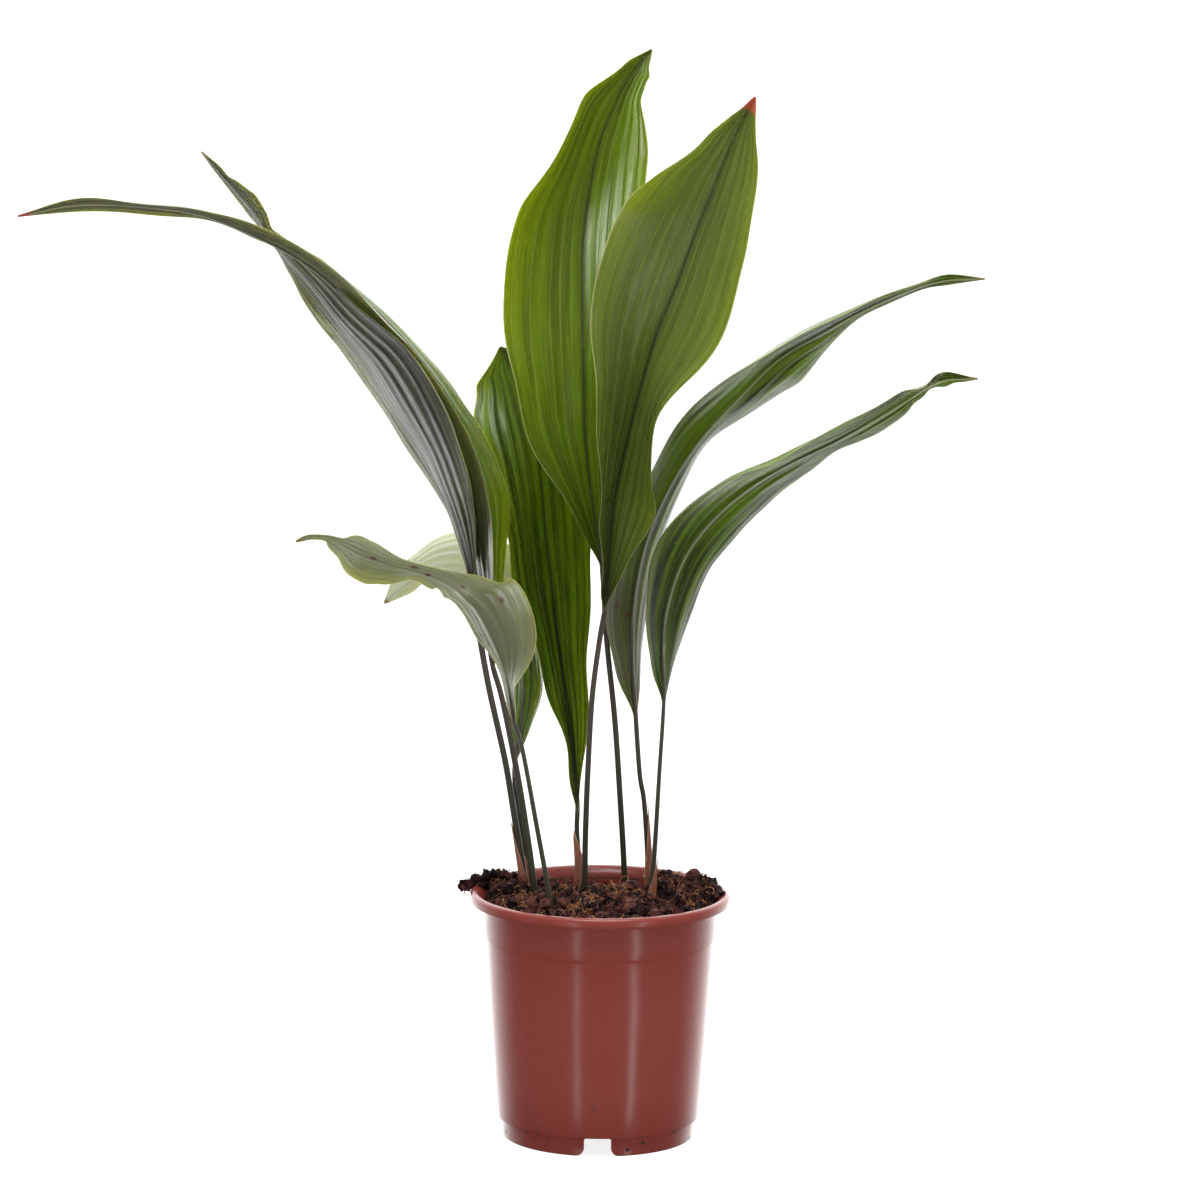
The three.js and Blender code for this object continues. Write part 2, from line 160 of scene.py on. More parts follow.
world = bpy.data.worlds.new("studio")
bpy.context.scene.world = world
world.use_nodes = True
sky = world.node_tree
sky.nodes.clear()
direction = node_in(sky, "ShaderNodeTexCoord")
apart = node_in(sky, "ShaderNodeSeparateXYZ")
brightness = None
for axis, low, high, strength in SKY_PARTS:
    part = node_in(sky, "ShaderNodeMapRange", interpolation_type="SMOOTHSTEP")
    preset(part, {"From Min": low, "From Max": high, "To Max": strength})
    total = node_in(sky, "ShaderNodeMath", operation="ADD")
    total.inputs[1].default_value = SKY_IN_FRONT
    join(sky, (apart.outputs[axis], part.inputs["Value"]), (part.outputs["Result"], total.inputs[0]))
    if brightness:
        sky.links.new(brightness, total.inputs[1])
    brightness = total.outputs["Value"]
low_down = node_in(sky, "ShaderNodeMapRange", interpolation_type="SMOOTHSTEP")
preset(low_down, {
    "From Min": SKY_FADES_OUT[0], "From Max": SKY_FADES_OUT[1], "To Min": SKY_LOWEST_SHARE, "To Max": 1.0,
})
faded = node_in(sky, "ShaderNodeMath", operation="MULTIPLY")
lighting = node_in(sky, "ShaderNodeBackground")
backdrop = node_in(sky, "ShaderNodeBackground")
ray = node_in(sky, "ShaderNodeLightPath")
either = node_in(sky, "ShaderNodeMixShader")
sky_out = node_in(sky, "ShaderNodeOutputWorld")
for background in (lighting, backdrop):
    background.inputs["Color"].default_value = (1, 1, 1, 1)
join(
    sky,
    (direction.outputs["Generated"], apart.inputs["Vector"]),
    (apart.outputs["Z"], low_down.inputs["Value"]),
    (brightness, faded.inputs[0]),
    (low_down.outputs["Result"], faded.inputs[1]),
    (faded.outputs["Value"], lighting.inputs["Strength"]),
    (ray.outputs["Is Camera Ray"], either.inputs["Fac"]),
    (lighting.outputs["Background"], either.inputs[1]),
    (backdrop.outputs["Background"], either.inputs[2]),
    (either.outputs["Shader"], sky_out.inputs["Surface"]),
)


def soft_light(name, azimuth, height, distance, width, tall, watts, aim=300):
    """An area light that looks at the plant. Azimuth 0 is at the viewer, and grows to the right."""
    turn = math.radians(azimuth)
    lamp = bpy.data.lights.new(name, "AREA")
    lamp.shape = "RECTANGLE"
    lamp.size = width
    lamp.size_y = tall
    lamp.energy = watts
    light = link(bpy.data.objects.new(name, lamp))
    light.location = from_pot(distance * 1000 * math.sin(turn), -distance * 1000 * math.cos(turn), height)
    towards = from_pot(0, 0, aim) - light.location
    light.rotation_euler = towards.to_track_quat("-Z", "Y").to_euler()
    light.visible_camera = False
    return light


soft_light("light_strip_left", -23, -300, LIGHT_DISTANCE, 0.14, 1.5, 2.4, aim=100)
soft_light("light_strip_right", 37, -300, LIGHT_DISTANCE, 0.18, 1.5, 3.7, aim=100)
soft_light("light_above", 0, 1900, 0.5, 1.1, 1.1, 24)


# Pot: a thin moulded plastic nursery pot, turned about its axis. It has a rolled lip with a flat band,
# a slightly wider collar under it, a body that narrows downwards, a raised floor with four drain holes,
# and a stepped foot ring with four notches.

POT_TURNS = 200
POT_OUTSIDE = [
    [0, 11], [54.0, 11], [54.2, 10.6], [53.8, 0.6], [54.2, 0], [54.9, 0], [55.3, 0.5], [56.1, 9.9],
    [56.5, 10.7], [57.6, 11.0], [58.2, 11.4], [58.5, 12.2], [60.2, 36], [62.1, 63], [64.0, 90],
    [65.7, 115.0], [65.9, 115.6], [66.25, 116.2], [66.5, 116.9], [66.9, 124], [67.4, 134.4],
    [67.9, 136.2], [68.8, 137], [73.6, 137], [74.6, 137.3], [75.0, 138.2], [75.0, 140.6], [74.7, 141.8],
    [73.9, 142.6], [72.6, 143],
]
POT_INSIDE = [
    [71.4, 142.9], [70.2, 142.3], [69.0, 141.2], [67.6, 139.4], [66.5, 137.2], [66.0, 134], [65.5, 119],
    [65.2, 117.8], [64.5, 116.8], [64.1, 115], [60.5, 63], [57.0, 15], [56.4, 13.4], [54.8, 12.5], [0, 12.5],
]
NOTCH_WIDTH = 15.4
NOTCH_FLARE = 5.2
NOTCH_ROOF = 10.9
NOTCH_ROOF_CORNER = 1.0
NOTCH_FLARE_STEPS = 8
NOTCH_BELOW = -2
NOTCH_LENGTH = 200
DRAIN_RADIUS = 5.0
DRAIN_CIRCLE = 38.0
DRAIN_SIDES = 32
DRAIN_CUT = (8, 15)
SHARP_ANGLE = 32
POT_RED = (0.285, 0.051, 0.038, 1)
POT_RED_WORN = (0.34, 0.095, 0.072, 1)
# Dried soil on the pot, the stalks and the sheaths; on the pot it also paints the shade under the lip.
DRIED_SOIL_AND_SHADE = (0.06, 0.028, 0.018, 1)
POT_SPECULAR = 0.42
SOIL_SPLASH = (0.016, 0.008)
# Where the painted shade under the lip rises in, where it fades out above, and how dark it gets.
LIP_SHADE_LOW = (0.1352, 0.1366)
LIP_SHADE_HIGH = (0.1374, 0.1368)
LIP_SHADE_SHARE = 0.75


def turned(name, profile, turns):
    """A closed solid of revolution about the pot's axis, from a profile that starts and ends on it."""
    ring = profile[1:-1]
    angles = np.linspace(0, 2 * np.pi, turns, endpoint=False)
    points = [from_pot(0, 0, profile[0][1])]
    for radius, z in ring:
        points += [from_pot(radius * math.cos(a), radius * math.sin(a), z) for a in angles]
    points.append(from_pot(0, 0, profile[-1][1]))
    last = len(points) - 1
    faces = []
    for j in range(turns):
        following = (j + 1) % turns
        faces.append((0, 1 + following, 1 + j))
        faces.append((last, last - turns + j, last - turns + following))
        for i in range(len(ring) - 1):
            low = 1 + i * turns
            faces.append((low + j, low + following, low + turns + following, low + turns + j))
    return mesh_object(name, points, faces)


def extruded(name, outline, length, turn):
    """A closed bar with the given outline across, lying through the pot's axis and turned about it."""
    points = []
    for y in (-length / 2, length / 2):
        for x, z in outline:
            across, along = math.cos(turn), math.sin(turn)
            points.append(from_pot(x * across - y * along, x * along + y * across, z))
    count = len(outline)
    faces = [tuple(range(count)), tuple(range(2 * count - 1, count - 1, -1))]
    for j in range(count):
        following = (j + 1) % count
        faces.append((j, count + j, count + following, following))
    return mesh_object(name, points, faces, smooth=False)


def notch_outline():
    """Half of the notch, from its flared foot up to its roof, and the same half mirrored."""
    edge = NOTCH_WIDTH / 2
    right = [(edge + NOTCH_FLARE, NOTCH_BELOW)]
    for i in range(NOTCH_FLARE_STEPS + 1):
        turn = i / NOTCH_FLARE_STEPS * math.pi / 2
        right.append((edge + NOTCH_FLARE * (1 - math.sin(turn)), NOTCH_FLARE * (1 - math.cos(turn))))
    right += [(edge, NOTCH_ROOF - NOTCH_ROOF_CORNER), (edge - NOTCH_ROOF_CORNER, NOTCH_ROOF)]
    return right + [(-x, z) for x, z in reversed(right)]


def settle(thing):
    """Turns what the modifiers show into the object's own mesh."""
    shown = thing.evaluated_get(bpy.context.evaluated_depsgraph_get())
    thing.data = bpy.data.meshes.new_from_object(shown)
    thing.modifiers.clear()


def cut(thing, cutter):
    boolean = thing.modifiers.new("cut", "BOOLEAN")
    boolean.object = cutter
    boolean.operation = "DIFFERENCE"
    boolean.solver = "EXACT"
    settle(thing)
    bpy.data.objects.remove(cutter)


def drain_plug(turn):
    """An upright round bar through the pot's floor, at a turn about the pot's axis."""
    points = []
    for z in DRAIN_CUT:
        for a in np.linspace(0, 2 * math.pi, DRAIN_SIDES, endpoint=False):
            x, y = DRAIN_CIRCLE + DRAIN_RADIUS * math.cos(a), DRAIN_RADIUS * math.sin(a)
            across, along = math.cos(turn), math.sin(turn)
            points.append(from_pot(x * across - y * along, x * along + y * across, z))
    ends = [tuple(range(DRAIN_SIDES - 1, -1, -1)), tuple(range(DRAIN_SIDES, 2 * DRAIN_SIDES))]
    sides = []
    for j in range(DRAIN_SIDES):
        following = (j + 1) % DRAIN_SIDES
        sides.append((j, following, DRAIN_SIDES + following, DRAIN_SIDES + j))
    return mesh_object("drain", points, ends + sides)


pot = turned("pot_shell", POT_OUTSIDE + POT_INSIDE, POT_TURNS)
for turn in (0, math.pi / 2):
    cut(pot, extruded("notch", notch_outline(), NOTCH_LENGTH, turn))
for i in range(4):
    cut(pot, drain_plug((i + 0.5) * math.pi / 2))
pot.data.set_sharp_from_angle(angle=math.radians(SHARP_ANGLE))


def group(name, inputs, outputs):
    """A shader node group with named inputs, each with its value, and named outputs."""
    tree = bpy.data.node_groups.new(name, "ShaderNodeTree")
    kinds = {float: "NodeSocketFloat", tuple: "NodeSocketColor", str: "NodeSocketVector"}
    for label, value in inputs.items():
        socket = tree.interface.new_socket(label, in_out="INPUT", socket_type=kinds[type(value)])
        if not isinstance(value, str):
            socket.default_value = value
    for label, kind in outputs.items():
        tree.interface.new_socket(label, in_out="OUTPUT", socket_type=kind)
    return tree, node_in(tree, "NodeGroupInput"), node_in(tree, "NodeGroupOutput")


def feed(tree, socket, given):
    """Sets a number or a colour on a socket, or links an output to it."""
    if isinstance(given, (int, float, tuple)):
        socket.default_value = given
    else:
        tree.links.new(given, socket)


def maths(tree, operation, *values, clamp=False):
    node = node_in(tree, "ShaderNodeMath", operation=operation, use_clamp=clamp)
    for socket, value in zip(node.inputs, values):
        feed(tree, socket, value)
    return node.outputs[0]


def times(tree, first, second):
    return maths(tree, "MULTIPLY", first, second)


def step_up(tree, value, low, high):
    """0 below low, 1 above high, and smooth between them."""
    node = node_in(tree, "ShaderNodeMapRange", interpolation_type="SMOOTHSTEP")
    for label, given in (("Value", value), ("From Min", low), ("From Max", high)):
        feed(tree, node.inputs[label], given)
    return node.outputs["Result"]


def step_down(tree, value, low, high):
    """1 below low, 0 above high, and smooth between them."""
    return maths(tree, "SUBTRACT", 1.0, step_up(tree, value, low, high))


def blend_colour(tree, share, first, second):
    node = node_in(tree, "ShaderNodeMix", data_type="RGBA")
    for number, given in ((0, share), (6, first), (7, second)):
        feed(tree, node.inputs[number], given)
    return node.outputs[2]


def clouds(tree, place, scale, detail=2.0, roughness=0.5):
    node = node_in(tree, "ShaderNodeTexNoise")
    preset(node, {"Scale": scale, "Detail": detail, "Roughness": roughness})
    tree.links.new(place, node.inputs["Vector"])
    return node.outputs["Fac"]


def specks_group():
    """Small scattered flecks: a mask of 0 and 1 by their size and number."""
    tree, given, out = group(
        "specks",
        {"Place": "vector", "Scale": 300.0, "Amount": 0.3, "Size": 0.25},
        {"Mask": "NodeSocketFloat"},
    )
    cells = node_in(tree, "ShaderNodeTexVoronoi", feature="F1")
    tree.links.new(given.outputs["Place"], cells.inputs["Vector"])
    tree.links.new(given.outputs["Scale"], cells.inputs["Scale"])
    pick = node_in(tree, "ShaderNodeSeparateColor")
    tree.links.new(cells.outputs["Color"], pick.inputs["Color"])
    chosen = maths(tree, "LESS_THAN", pick.outputs["Red"], given.outputs["Amount"])
    small = times(tree, given.outputs["Size"], maths(tree, "ADD", pick.outputs["Green"], 0.3))
    near = maths(tree, "LESS_THAN", cells.outputs["Distance"], small)
    tree.links.new(times(tree, chosen, near), out.inputs["Mask"])
    return tree


SPECKS = specks_group()


def specks(tree, place, scale, amount, size):
    node = node_in(tree, "ShaderNodeGroup", node_tree=SPECKS)
    tree.links.new(place, node.inputs["Place"])
    preset(node, {"Scale": scale, "Amount": amount, "Size": size})
    return node.outputs["Mask"]


def bumped(tree, shader, height, distance, strength=1.0):
    bump = node_in(tree, "ShaderNodeBump")
    preset(bump, {"Distance": distance, "Strength": strength})
    join(tree, (height, bump.inputs["Height"]), (bump.outputs["Normal"], shader.inputs["Normal"]))


def pot_plastic():
    material, tree, shader = new_material("pot_plastic")
    place = node_in(tree, "ShaderNodeTexCoord").outputs["Object"]
    height = node_in(tree, "ShaderNodeSeparateXYZ")
    tree.links.new(place, height.inputs["Vector"])
    low_down = step_up(tree, height.outputs["Z"], *SOIL_SPLASH)
    tone = clouds(tree, place, 9, 3)
    scuffs = step_up(tree, clouds(tree, place, 160, 4, 0.7), 0.62, 0.72)
    colour = blend_colour(tree, times(tree, tone, 0.16), POT_RED, POT_RED_WORN)
    colour = blend_colour(tree, times(tree, scuffs, 0.10), colour, POT_RED_WORN)
    few = specks(tree, place, 240, 0.02, 0.22)
    many = times(tree, specks(tree, place, 330, 0.17, 0.34), low_down)
    # A dark band painted just under the lip: painted shade where the lip overhangs the collar.
    above = times(tree, step_up(tree, height.outputs["Z"], *LIP_SHADE_LOW), LIP_SHADE_SHARE)
    lip_shade = times(tree, above, step_up(tree, height.outputs["Z"], *LIP_SHADE_HIGH))
    colour = blend_colour(tree, lip_shade, colour, DRIED_SOIL_AND_SHADE)
    dirt = maths(tree, "MAXIMUM", times(tree, few, 0.5), many)
    colour = blend_colour(tree, dirt, colour, DRIED_SOIL_AND_SHADE)
    tree.links.new(colour, shader.inputs["Base Color"])
    rough = maths(tree, "MULTIPLY_ADD", scuffs, 0.12, 0.16)
    rough = maths(tree, "MULTIPLY_ADD", clouds(tree, place, 30, 2), 0.08, rough)
    tree.links.new(maths(tree, "MULTIPLY_ADD", dirt, 0.5, rough), shader.inputs["Roughness"])
    bumped(tree, shader, clouds(tree, place, 55, 2), 0.0006, 0.12)
    shader.inputs["Specular IOR Level"].default_value = POT_SPECULAR
    return material


pot.data.materials.append(pot_plastic())
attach(pot, "root")
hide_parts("pot")


# Soil: moist peat and coconut fibre, heaped a little above the pot's rim and highest at the left and the
# right, where clods spill over the lip. The heap is one solid, and clods, crumbs and fibres lie on it.

SOIL_LEVEL = 137.0
SOIL_CROWN = 3.0
SOIL_WALL = 65.4
SOIL_FOOT = 120.0
SOIL_RINGS = 100
SOIL_TURNS = 320

# Loose bits lie this near the pot's axis, or above its lip, so that they stay out of its wall.
SOIL_REACH = 61.0
SOIL_REACH_LOW = 54.0
SOIL_LOW = 134.0
WALL_INSIDE = 65.6
UNDER_LIP = 137.0
SPILLED_BEYOND = 67.0
ABOVE_LIP = 143.6

# A mound is its place, its height and its spread. A spill is a line of points, each with the radius there.
MOUNDS = [
    (-56, 22, 8, 12), (-40, -18, 4, 16), (48, 24, 8, 13), (36, -30, 3, 14), (-4, -44, 2, 18),
    (-16, -20, 3, 9), (16, -12, 4, 10), (-34, 38, 2, 9), (60, 2, 8, 10), (22, -38, -4, 9), (0, 58, -8, 20),
    (28, 56, -6, 12), (-28, 58, -5, 12), (46, -20, -4, 8), (-60, 4, 3, 7),
]
SPILLS = [
    [
        (-50, 22, 142, 4.0), (-55, 22, 144, 5.6), (-61, 21, 144.5, 5.2), (-66, 18, 144.5, 4.6),
        (-70.5, 15, 144.5, 3.8), (-74.5, 13, 144.2, 3.2), (-78, 12, 143, 3.0), (-80, 12, 141, 2.3),
        (-80.5, 12, 139.2, 1.2),
    ],
    [
        (48, 28, 141, 4.0), (53, 27, 143.2, 4.4), (58, 24, 144.0, 4.2), (62, 18, 144.0, 3.6),
        (65, 11, 144, 3.4), (67, 4, 143.2, 2.8), (67.5, -3, 142, 2.0), (67, -8, 141, 1.2),
    ],
]
SPILL_SIDES = 36
RINGS_A_STRETCH = 7

# The soil is uneven at several sizes, each with its own depth.
LUMPS = ((12.0, 7.5), (5.5, 4.8))
LUMP_HOLLOW = 0.3
LUMP_GAIN = 1.6
GRAINS = ((2.6, 2.2), (1.2, 1.0))
SPILL_LUMPS = ((3.6, 0.75), (1.5, 0.5))
SPILL_SWAY_SIZE = 2.5
SPILL_SWAY = 1.4
SOIL_FOOT_EDGE = ((0.2, 1), (1.2, 0))

NEARLY_OPEN = 0.99
LEAST_UPWARD = 0.05
SMALL_BIAS = 2.2
PEAT_DARK = (0.0100, 0.0034, 0.0062, 1)
PEAT_BROWN = (0.098, 0.034, 0.034, 1)
CRUMB_BROWN = (0.175, 0.066, 0.054, 1)
FIBRE_DARK = (0.11, 0.041, 0.027, 1)
FIBRE_BRIGHT = (0.62, 0.29, 0.12, 1)


def heap_height(x, y):
    """How high the soil stands above its level at the wall, in millimetres."""
    wallward = min(1.0, math.hypot(x, y) / SOIL_WALL)
    height = SOIL_CROWN * (1 - wallward ** 4)
    for mound_x, mound_y, rise, spread in MOUNDS:
        height += rise * math.exp(-((x - mound_x) ** 2 + (y - mound_y) ** 2) / (2 * spread ** 2))
    for size, depth in LUMPS:
        height += depth * (abs(noise.noise(Vector((x / size, y / size, size)))) - LUMP_HOLLOW) * LUMP_GAIN
    for size, depth in GRAINS:
        height += depth * noise.noise(Vector((x / size, y / size, size)))
    return height


def soil_spill(course, first):
    """Clods that hang over the lip: a closed lumpy body along a short line."""
    points, faces = [], []
    rings = (len(course) - 1) * RINGS_A_STRETCH + 1
    for i in range(rings):
        place = i / RINGS_A_STRETCH
        k = min(int(place), len(course) - 2)
        share = place - k
        x, y, z, radius = (a + (b - a) * share for a, b in zip(course[k], course[k + 1]))
        ahead = Vector(course[k + 1][:3]) - Vector(course[k][:3])
        aside = ahead.cross(Vector((0, 0, 1))).normalized()
        upward = aside.cross(ahead).normalized()
        for j in range(SPILL_SIDES):
            turn = 2 * math.pi * j / SPILL_SIDES
            way = aside * math.cos(turn) + upward * math.sin(turn)
            at = Vector((x, y, z)) + way * radius
            lumps = 1.0
            for size, depth in SPILL_LUMPS:
                lumps += depth * noise.noise(at / size)
            at = Vector((x, y, z)) + way * radius * lumps
            at.x += SPILL_SWAY * noise.noise(at / SPILL_SWAY_SIZE)
            points.append(from_pot(*at))
    points += [from_pot(*course[0][:3]), from_pot(*course[-1][:3])]
    for j in range(SPILL_SIDES):
        following = (j + 1) % SPILL_SIDES
        for i in range(rings - 1):
            low = first + i * SPILL_SIDES
            faces.append((low + j, low + following, low + SPILL_SIDES + following, low + SPILL_SIDES + j))
        last = first + (rings - 1) * SPILL_SIDES
        faces.append((first + rings * SPILL_SIDES, first + following, first + j))
        faces.append((first + rings * SPILL_SIDES + 1, last + j, last + following))
    return points, faces


def carry(piece, label, values):
    """Keeps one number for each point of the mesh, to be read by its label."""
    piece.data.attributes.new(label, "FLOAT", "POINT").data.foreach_set("value", values)


def soil_heap():
    points = [from_pot(0, 0, SOIL_LEVEL + heap_height(0, 0))]
    faces = []
    for i in range(1, SOIL_RINGS + 1):
        radius = SOIL_WALL * i / SOIL_RINGS
        for j in range(SOIL_TURNS):
            turn = 2 * math.pi * j / SOIL_TURNS
            x, y = radius * math.cos(turn), radius * math.sin(turn)
            points.append(from_pot(x, y, SOIL_LEVEL + heap_height(x, y)))
    for inward, above_foot in SOIL_FOOT_EDGE:
        radius = SOIL_WALL - inward
        for j in range(SOIL_TURNS):
            turn = 2 * math.pi * j / SOIL_TURNS
            x, y = radius * math.cos(turn), radius * math.sin(turn)
            points.append(from_pot(x, y, SOIL_FOOT + above_foot))
    points.append(from_pot(0, 0, SOIL_FOOT))
    last = len(points) - 1
    for j in range(SOIL_TURNS):
        following = (j + 1) % SOIL_TURNS
        faces.append((0, 1 + j, 1 + following))
        faces.append((last, last - SOIL_TURNS + following, last - SOIL_TURNS + j))
        for i in range(SOIL_RINGS + 1):
            inner, outer = 1 + i * SOIL_TURNS, 1 + (i + 1) * SOIL_TURNS
            faces.append((inner + j, outer + j, outer + following, inner + following))
    for course in SPILLS:
        spill_points, spill_faces = soil_spill(course, len(points))
        points += spill_points
        faces += spill_faces
    heap = mesh_object("soil_heap", points, faces)
    bare = []
    for vertex in heap.data.vertices:
        place = (vertex.co - POT_AXIS) / MM
        reach = SOIL_REACH if place.z > SOIL_LOW else SOIL_REACH_LOW
        clear_of_wall = math.hypot(place.x, place.y) < reach or abs(place.x) > SPILLED_BEYOND
        bare.append(float(clear_of_wall or place.z > ABOVE_LIP))
    carry(heap, "open", bare)
    return heap


def soil_material(name, dark, bright, grain, fleck):
    material, tree, shader = new_material(name)
    place = node_in(tree, "ShaderNodeTexCoord").outputs["Object"]
    patches = clouds(tree, place, grain * 0.4, 3, 0.6)
    tone = times(tree, step_up(tree, patches, 0.40, 0.60), clouds(tree, place, grain, 5, 0.65))
    tone = step_up(tree, tone, 0.10, 0.52)
    colour = blend_colour(tree, tone, dark, bright)
    flecks = step_up(tree, clouds(tree, place, grain * 4.5, 3, 0.6), 0.60, 0.70)
    colour = blend_colour(tree, times(tree, flecks, fleck), colour, FIBRE_BRIGHT)
    tree.links.new(colour, shader.inputs["Base Color"])
    tree.links.new(maths(tree, "MULTIPLY_ADD", tone, 0.25, 0.62), shader.inputs["Roughness"])
    shader.inputs["Specular IOR Level"].default_value = 0.1
    bumped(tree, shader, clouds(tree, place, 1100, 4, 0.7), 0.0012, 1.0)
    return material


SCATTER_INPUTS = {
    "Surface": "NodeSocketGeometry", "Density": "NodeSocketFloat", "Seed": "NodeSocketInt",
    "Smallest": "NodeSocketFloat", "Largest": "NodeSocketFloat", "Roughness": "NodeSocketFloat",
    "Roughness Scale": "NodeSocketFloat", "Material": "NodeSocketMaterial",
}


def scatter_tree(name, own_inputs):
    """A node tree with named inputs that scatters one small shape over a surface."""
    tree = bpy.data.node_groups.new(name, "GeometryNodeTree")
    sockets = {}
    for label, kind in (SCATTER_INPUTS | own_inputs).items():
        sockets[label] = tree.interface.new_socket(label, in_out="INPUT", socket_type=kind)
    tree.interface.new_socket("Scattered", in_out="OUTPUT", socket_type="NodeSocketGeometry")
    return tree, node_in(tree, "NodeGroupInput"), node_in(tree, "NodeGroupOutput"), sockets


def scattered_places(tree, given):
    """Points on the upward faces of the surface, and a random turn and size for each."""
    spread = node_in(tree, "GeometryNodeDistributePointsOnFaces")
    facing = node_in(tree, "GeometryNodeInputNormal")
    apart = node_in(tree, "ShaderNodeSeparateXYZ")
    allowed = node_in(tree, "GeometryNodeInputNamedAttribute", data_type="FLOAT")
    allowed.inputs["Name"].default_value = "open"
    wholly_open = node_in(tree, "ShaderNodeMath", operation="GREATER_THAN")
    wholly_open.inputs[1].default_value = NEARLY_OPEN
    fitness = node_in(tree, "ShaderNodeMath", operation="MULTIPLY")
    upward = node_in(tree, "FunctionNodeCompare", data_type="FLOAT", operation="GREATER_THAN")
    upward.inputs["B"].default_value = LEAST_UPWARD
    turn = node_in(tree, "FunctionNodeRandomValue", data_type="FLOAT_VECTOR")
    turn.inputs["Max"].default_value = (2 * math.pi,) * 3
    chance = node_in(tree, "FunctionNodeRandomValue", data_type="FLOAT")
    chance.inputs[2].default_value = 0.0
    chance.inputs[3].default_value = 1.0
    often_small = node_in(tree, "ShaderNodeMath", operation="POWER")
    often_small.inputs[1].default_value = SMALL_BIAS
    size = node_in(tree, "ShaderNodeMapRange")
    join(
        tree,
        (given.outputs["Surface"], spread.inputs["Mesh"]),
        (given.outputs["Density"], spread.inputs["Density"]),
        (given.outputs["Seed"], spread.inputs["Seed"]),
        (facing.outputs["Normal"], apart.inputs["Vector"]),
        (apart.outputs["Z"], fitness.inputs[0]),
        (allowed.outputs["Attribute"], wholly_open.inputs[0]),
        (wholly_open.outputs["Value"], fitness.inputs[1]),
        (fitness.outputs["Value"], upward.inputs["A"]),
        (upward.outputs["Result"], spread.inputs["Selection"]),
        (given.outputs["Seed"], turn.inputs["Seed"]),
        (given.outputs["Seed"], chance.inputs["Seed"]),
        (chance.outputs[1], often_small.inputs[0]),
        (often_small.outputs[0], size.inputs["Value"]),
        (given.outputs["Smallest"], size.inputs["To Min"]),
        (given.outputs["Largest"], size.inputs["To Max"]),
    )
    return spread.outputs["Points"], turn.outputs["Value"], size.outputs["Result"]


def roughened(tree, given, shape):
    """Moves every point by a vector noise, so that no two scattered shapes are alike."""
    place = node_in(tree, "GeometryNodeInputPosition")
    waves = node_in(tree, "ShaderNodeTexNoise")
    waves.inputs["Detail"].default_value = 2.0
    middle = node_in(tree, "ShaderNodeVectorMath", operation="SUBTRACT")
    middle.inputs[1].default_value = (0.5, 0.5, 0.5)
    by = node_in(tree, "ShaderNodeVectorMath", operation="SCALE")
    moved = node_in(tree, "GeometryNodeSetPosition")
    join(
        tree,
        (place.outputs["Position"], waves.inputs["Vector"]),
        (given.outputs["Roughness Scale"], waves.inputs["Scale"]),
        (waves.outputs["Color"], middle.inputs[0]),
        (middle.outputs["Vector"], by.inputs[0]),
        (given.outputs["Roughness"], by.inputs["Scale"]),
        (shape, moved.inputs["Geometry"]),
        (by.outputs["Vector"], moved.inputs["Offset"]),
    )
    return moved.outputs["Geometry"]


def instanced(tree, points, turns, sizes, shape):
    place = node_in(tree, "GeometryNodeInstanceOnPoints")
    real = node_in(tree, "GeometryNodeRealizeInstances")
    join(
        tree,
        (points, place.inputs["Points"]),
        (shape, place.inputs["Instance"]),
        (turns, place.inputs["Rotation"]),
        (sizes, place.inputs["Scale"]),
        (place.outputs["Instances"], real.inputs["Geometry"]),
    )
    return real.outputs["Geometry"]


def finished(tree, given, out, shape):
    real = node_in(tree, "GeometryNodeRealizeInstances")
    smooth = node_in(tree, "GeometryNodeSetShadeSmooth")
    coat = node_in(tree, "GeometryNodeSetMaterial")
    join(
        tree,
        (shape, real.inputs["Geometry"]),
        (real.outputs["Geometry"], smooth.inputs["Geometry"]),
        (smooth.outputs["Geometry"], coat.inputs["Geometry"]),
        (given.outputs["Material"], coat.inputs["Material"]),
        (coat.outputs["Geometry"], out.inputs["Scattered"]),
    )


def crumb_tree():
    """Round crumbs, with a fineness of 1 or more for their faces."""
    tree, given, out, sockets = scatter_tree("scattered_crumbs", {"Fineness": "NodeSocketInt"})
    crumb = node_in(tree, "GeometryNodeMeshIcoSphere")
    crumb.inputs["Radius"].default_value = 1.0
    tree.links.new(given.outputs["Fineness"], crumb.inputs["Subdivisions"])
    points, turns, sizes = scattered_places(tree, given)
    shape = instanced(tree, points, turns, sizes, crumb.outputs["Mesh"])
    finished(tree, given, out, roughened(tree, given, shape))
    return tree, sockets


def fibre_tree():
    """Curled fibres: arcs with a thickness, and with the angle that they sweep."""
    own_inputs = {"Thickness": "NodeSocketFloat", "Sweep": "NodeSocketFloat"}
    tree, given, out, sockets = scatter_tree("scattered_fibres", own_inputs)
    arc = node_in(tree, "GeometryNodeCurveArc", mode="RADIUS")
    arc.inputs["Resolution"].default_value = 8
    arc.inputs["Radius"].default_value = 1.0
    tree.links.new(given.outputs["Sweep"], arc.inputs["Sweep Angle"])
    points, turns, sizes = scattered_places(tree, given)
    bent = roughened(tree, given, instanced(tree, points, turns, sizes, arc.outputs["Curve"]))
    section = node_in(tree, "GeometryNodeCurvePrimitiveCircle", mode="RADIUS")
    section.inputs["Resolution"].default_value = 3
    tube = node_in(tree, "GeometryNodeCurveToMesh")
    tube.inputs["Fill Caps"].default_value = True
    join(
        tree,
        (given.outputs["Thickness"], section.inputs["Radius"]),
        (bent, tube.inputs["Curve"]),
        (section.outputs["Curve"], tube.inputs["Profile Curve"]),
    )
    finished(tree, given, out, tube.outputs["Mesh"])
    return tree, sockets


def scattered(name, surface, tree, sockets, values):
    """A plain mesh of what a tree scatters over a surface."""
    piece = link(bpy.data.objects.new(name, surface.data.copy()))
    modifier = piece.modifiers.new(name, "NODES")
    modifier.node_group = tree
    for label, value in values.items():
        modifier[sockets[label].identifier] = value
    settle(piece)
    return piece


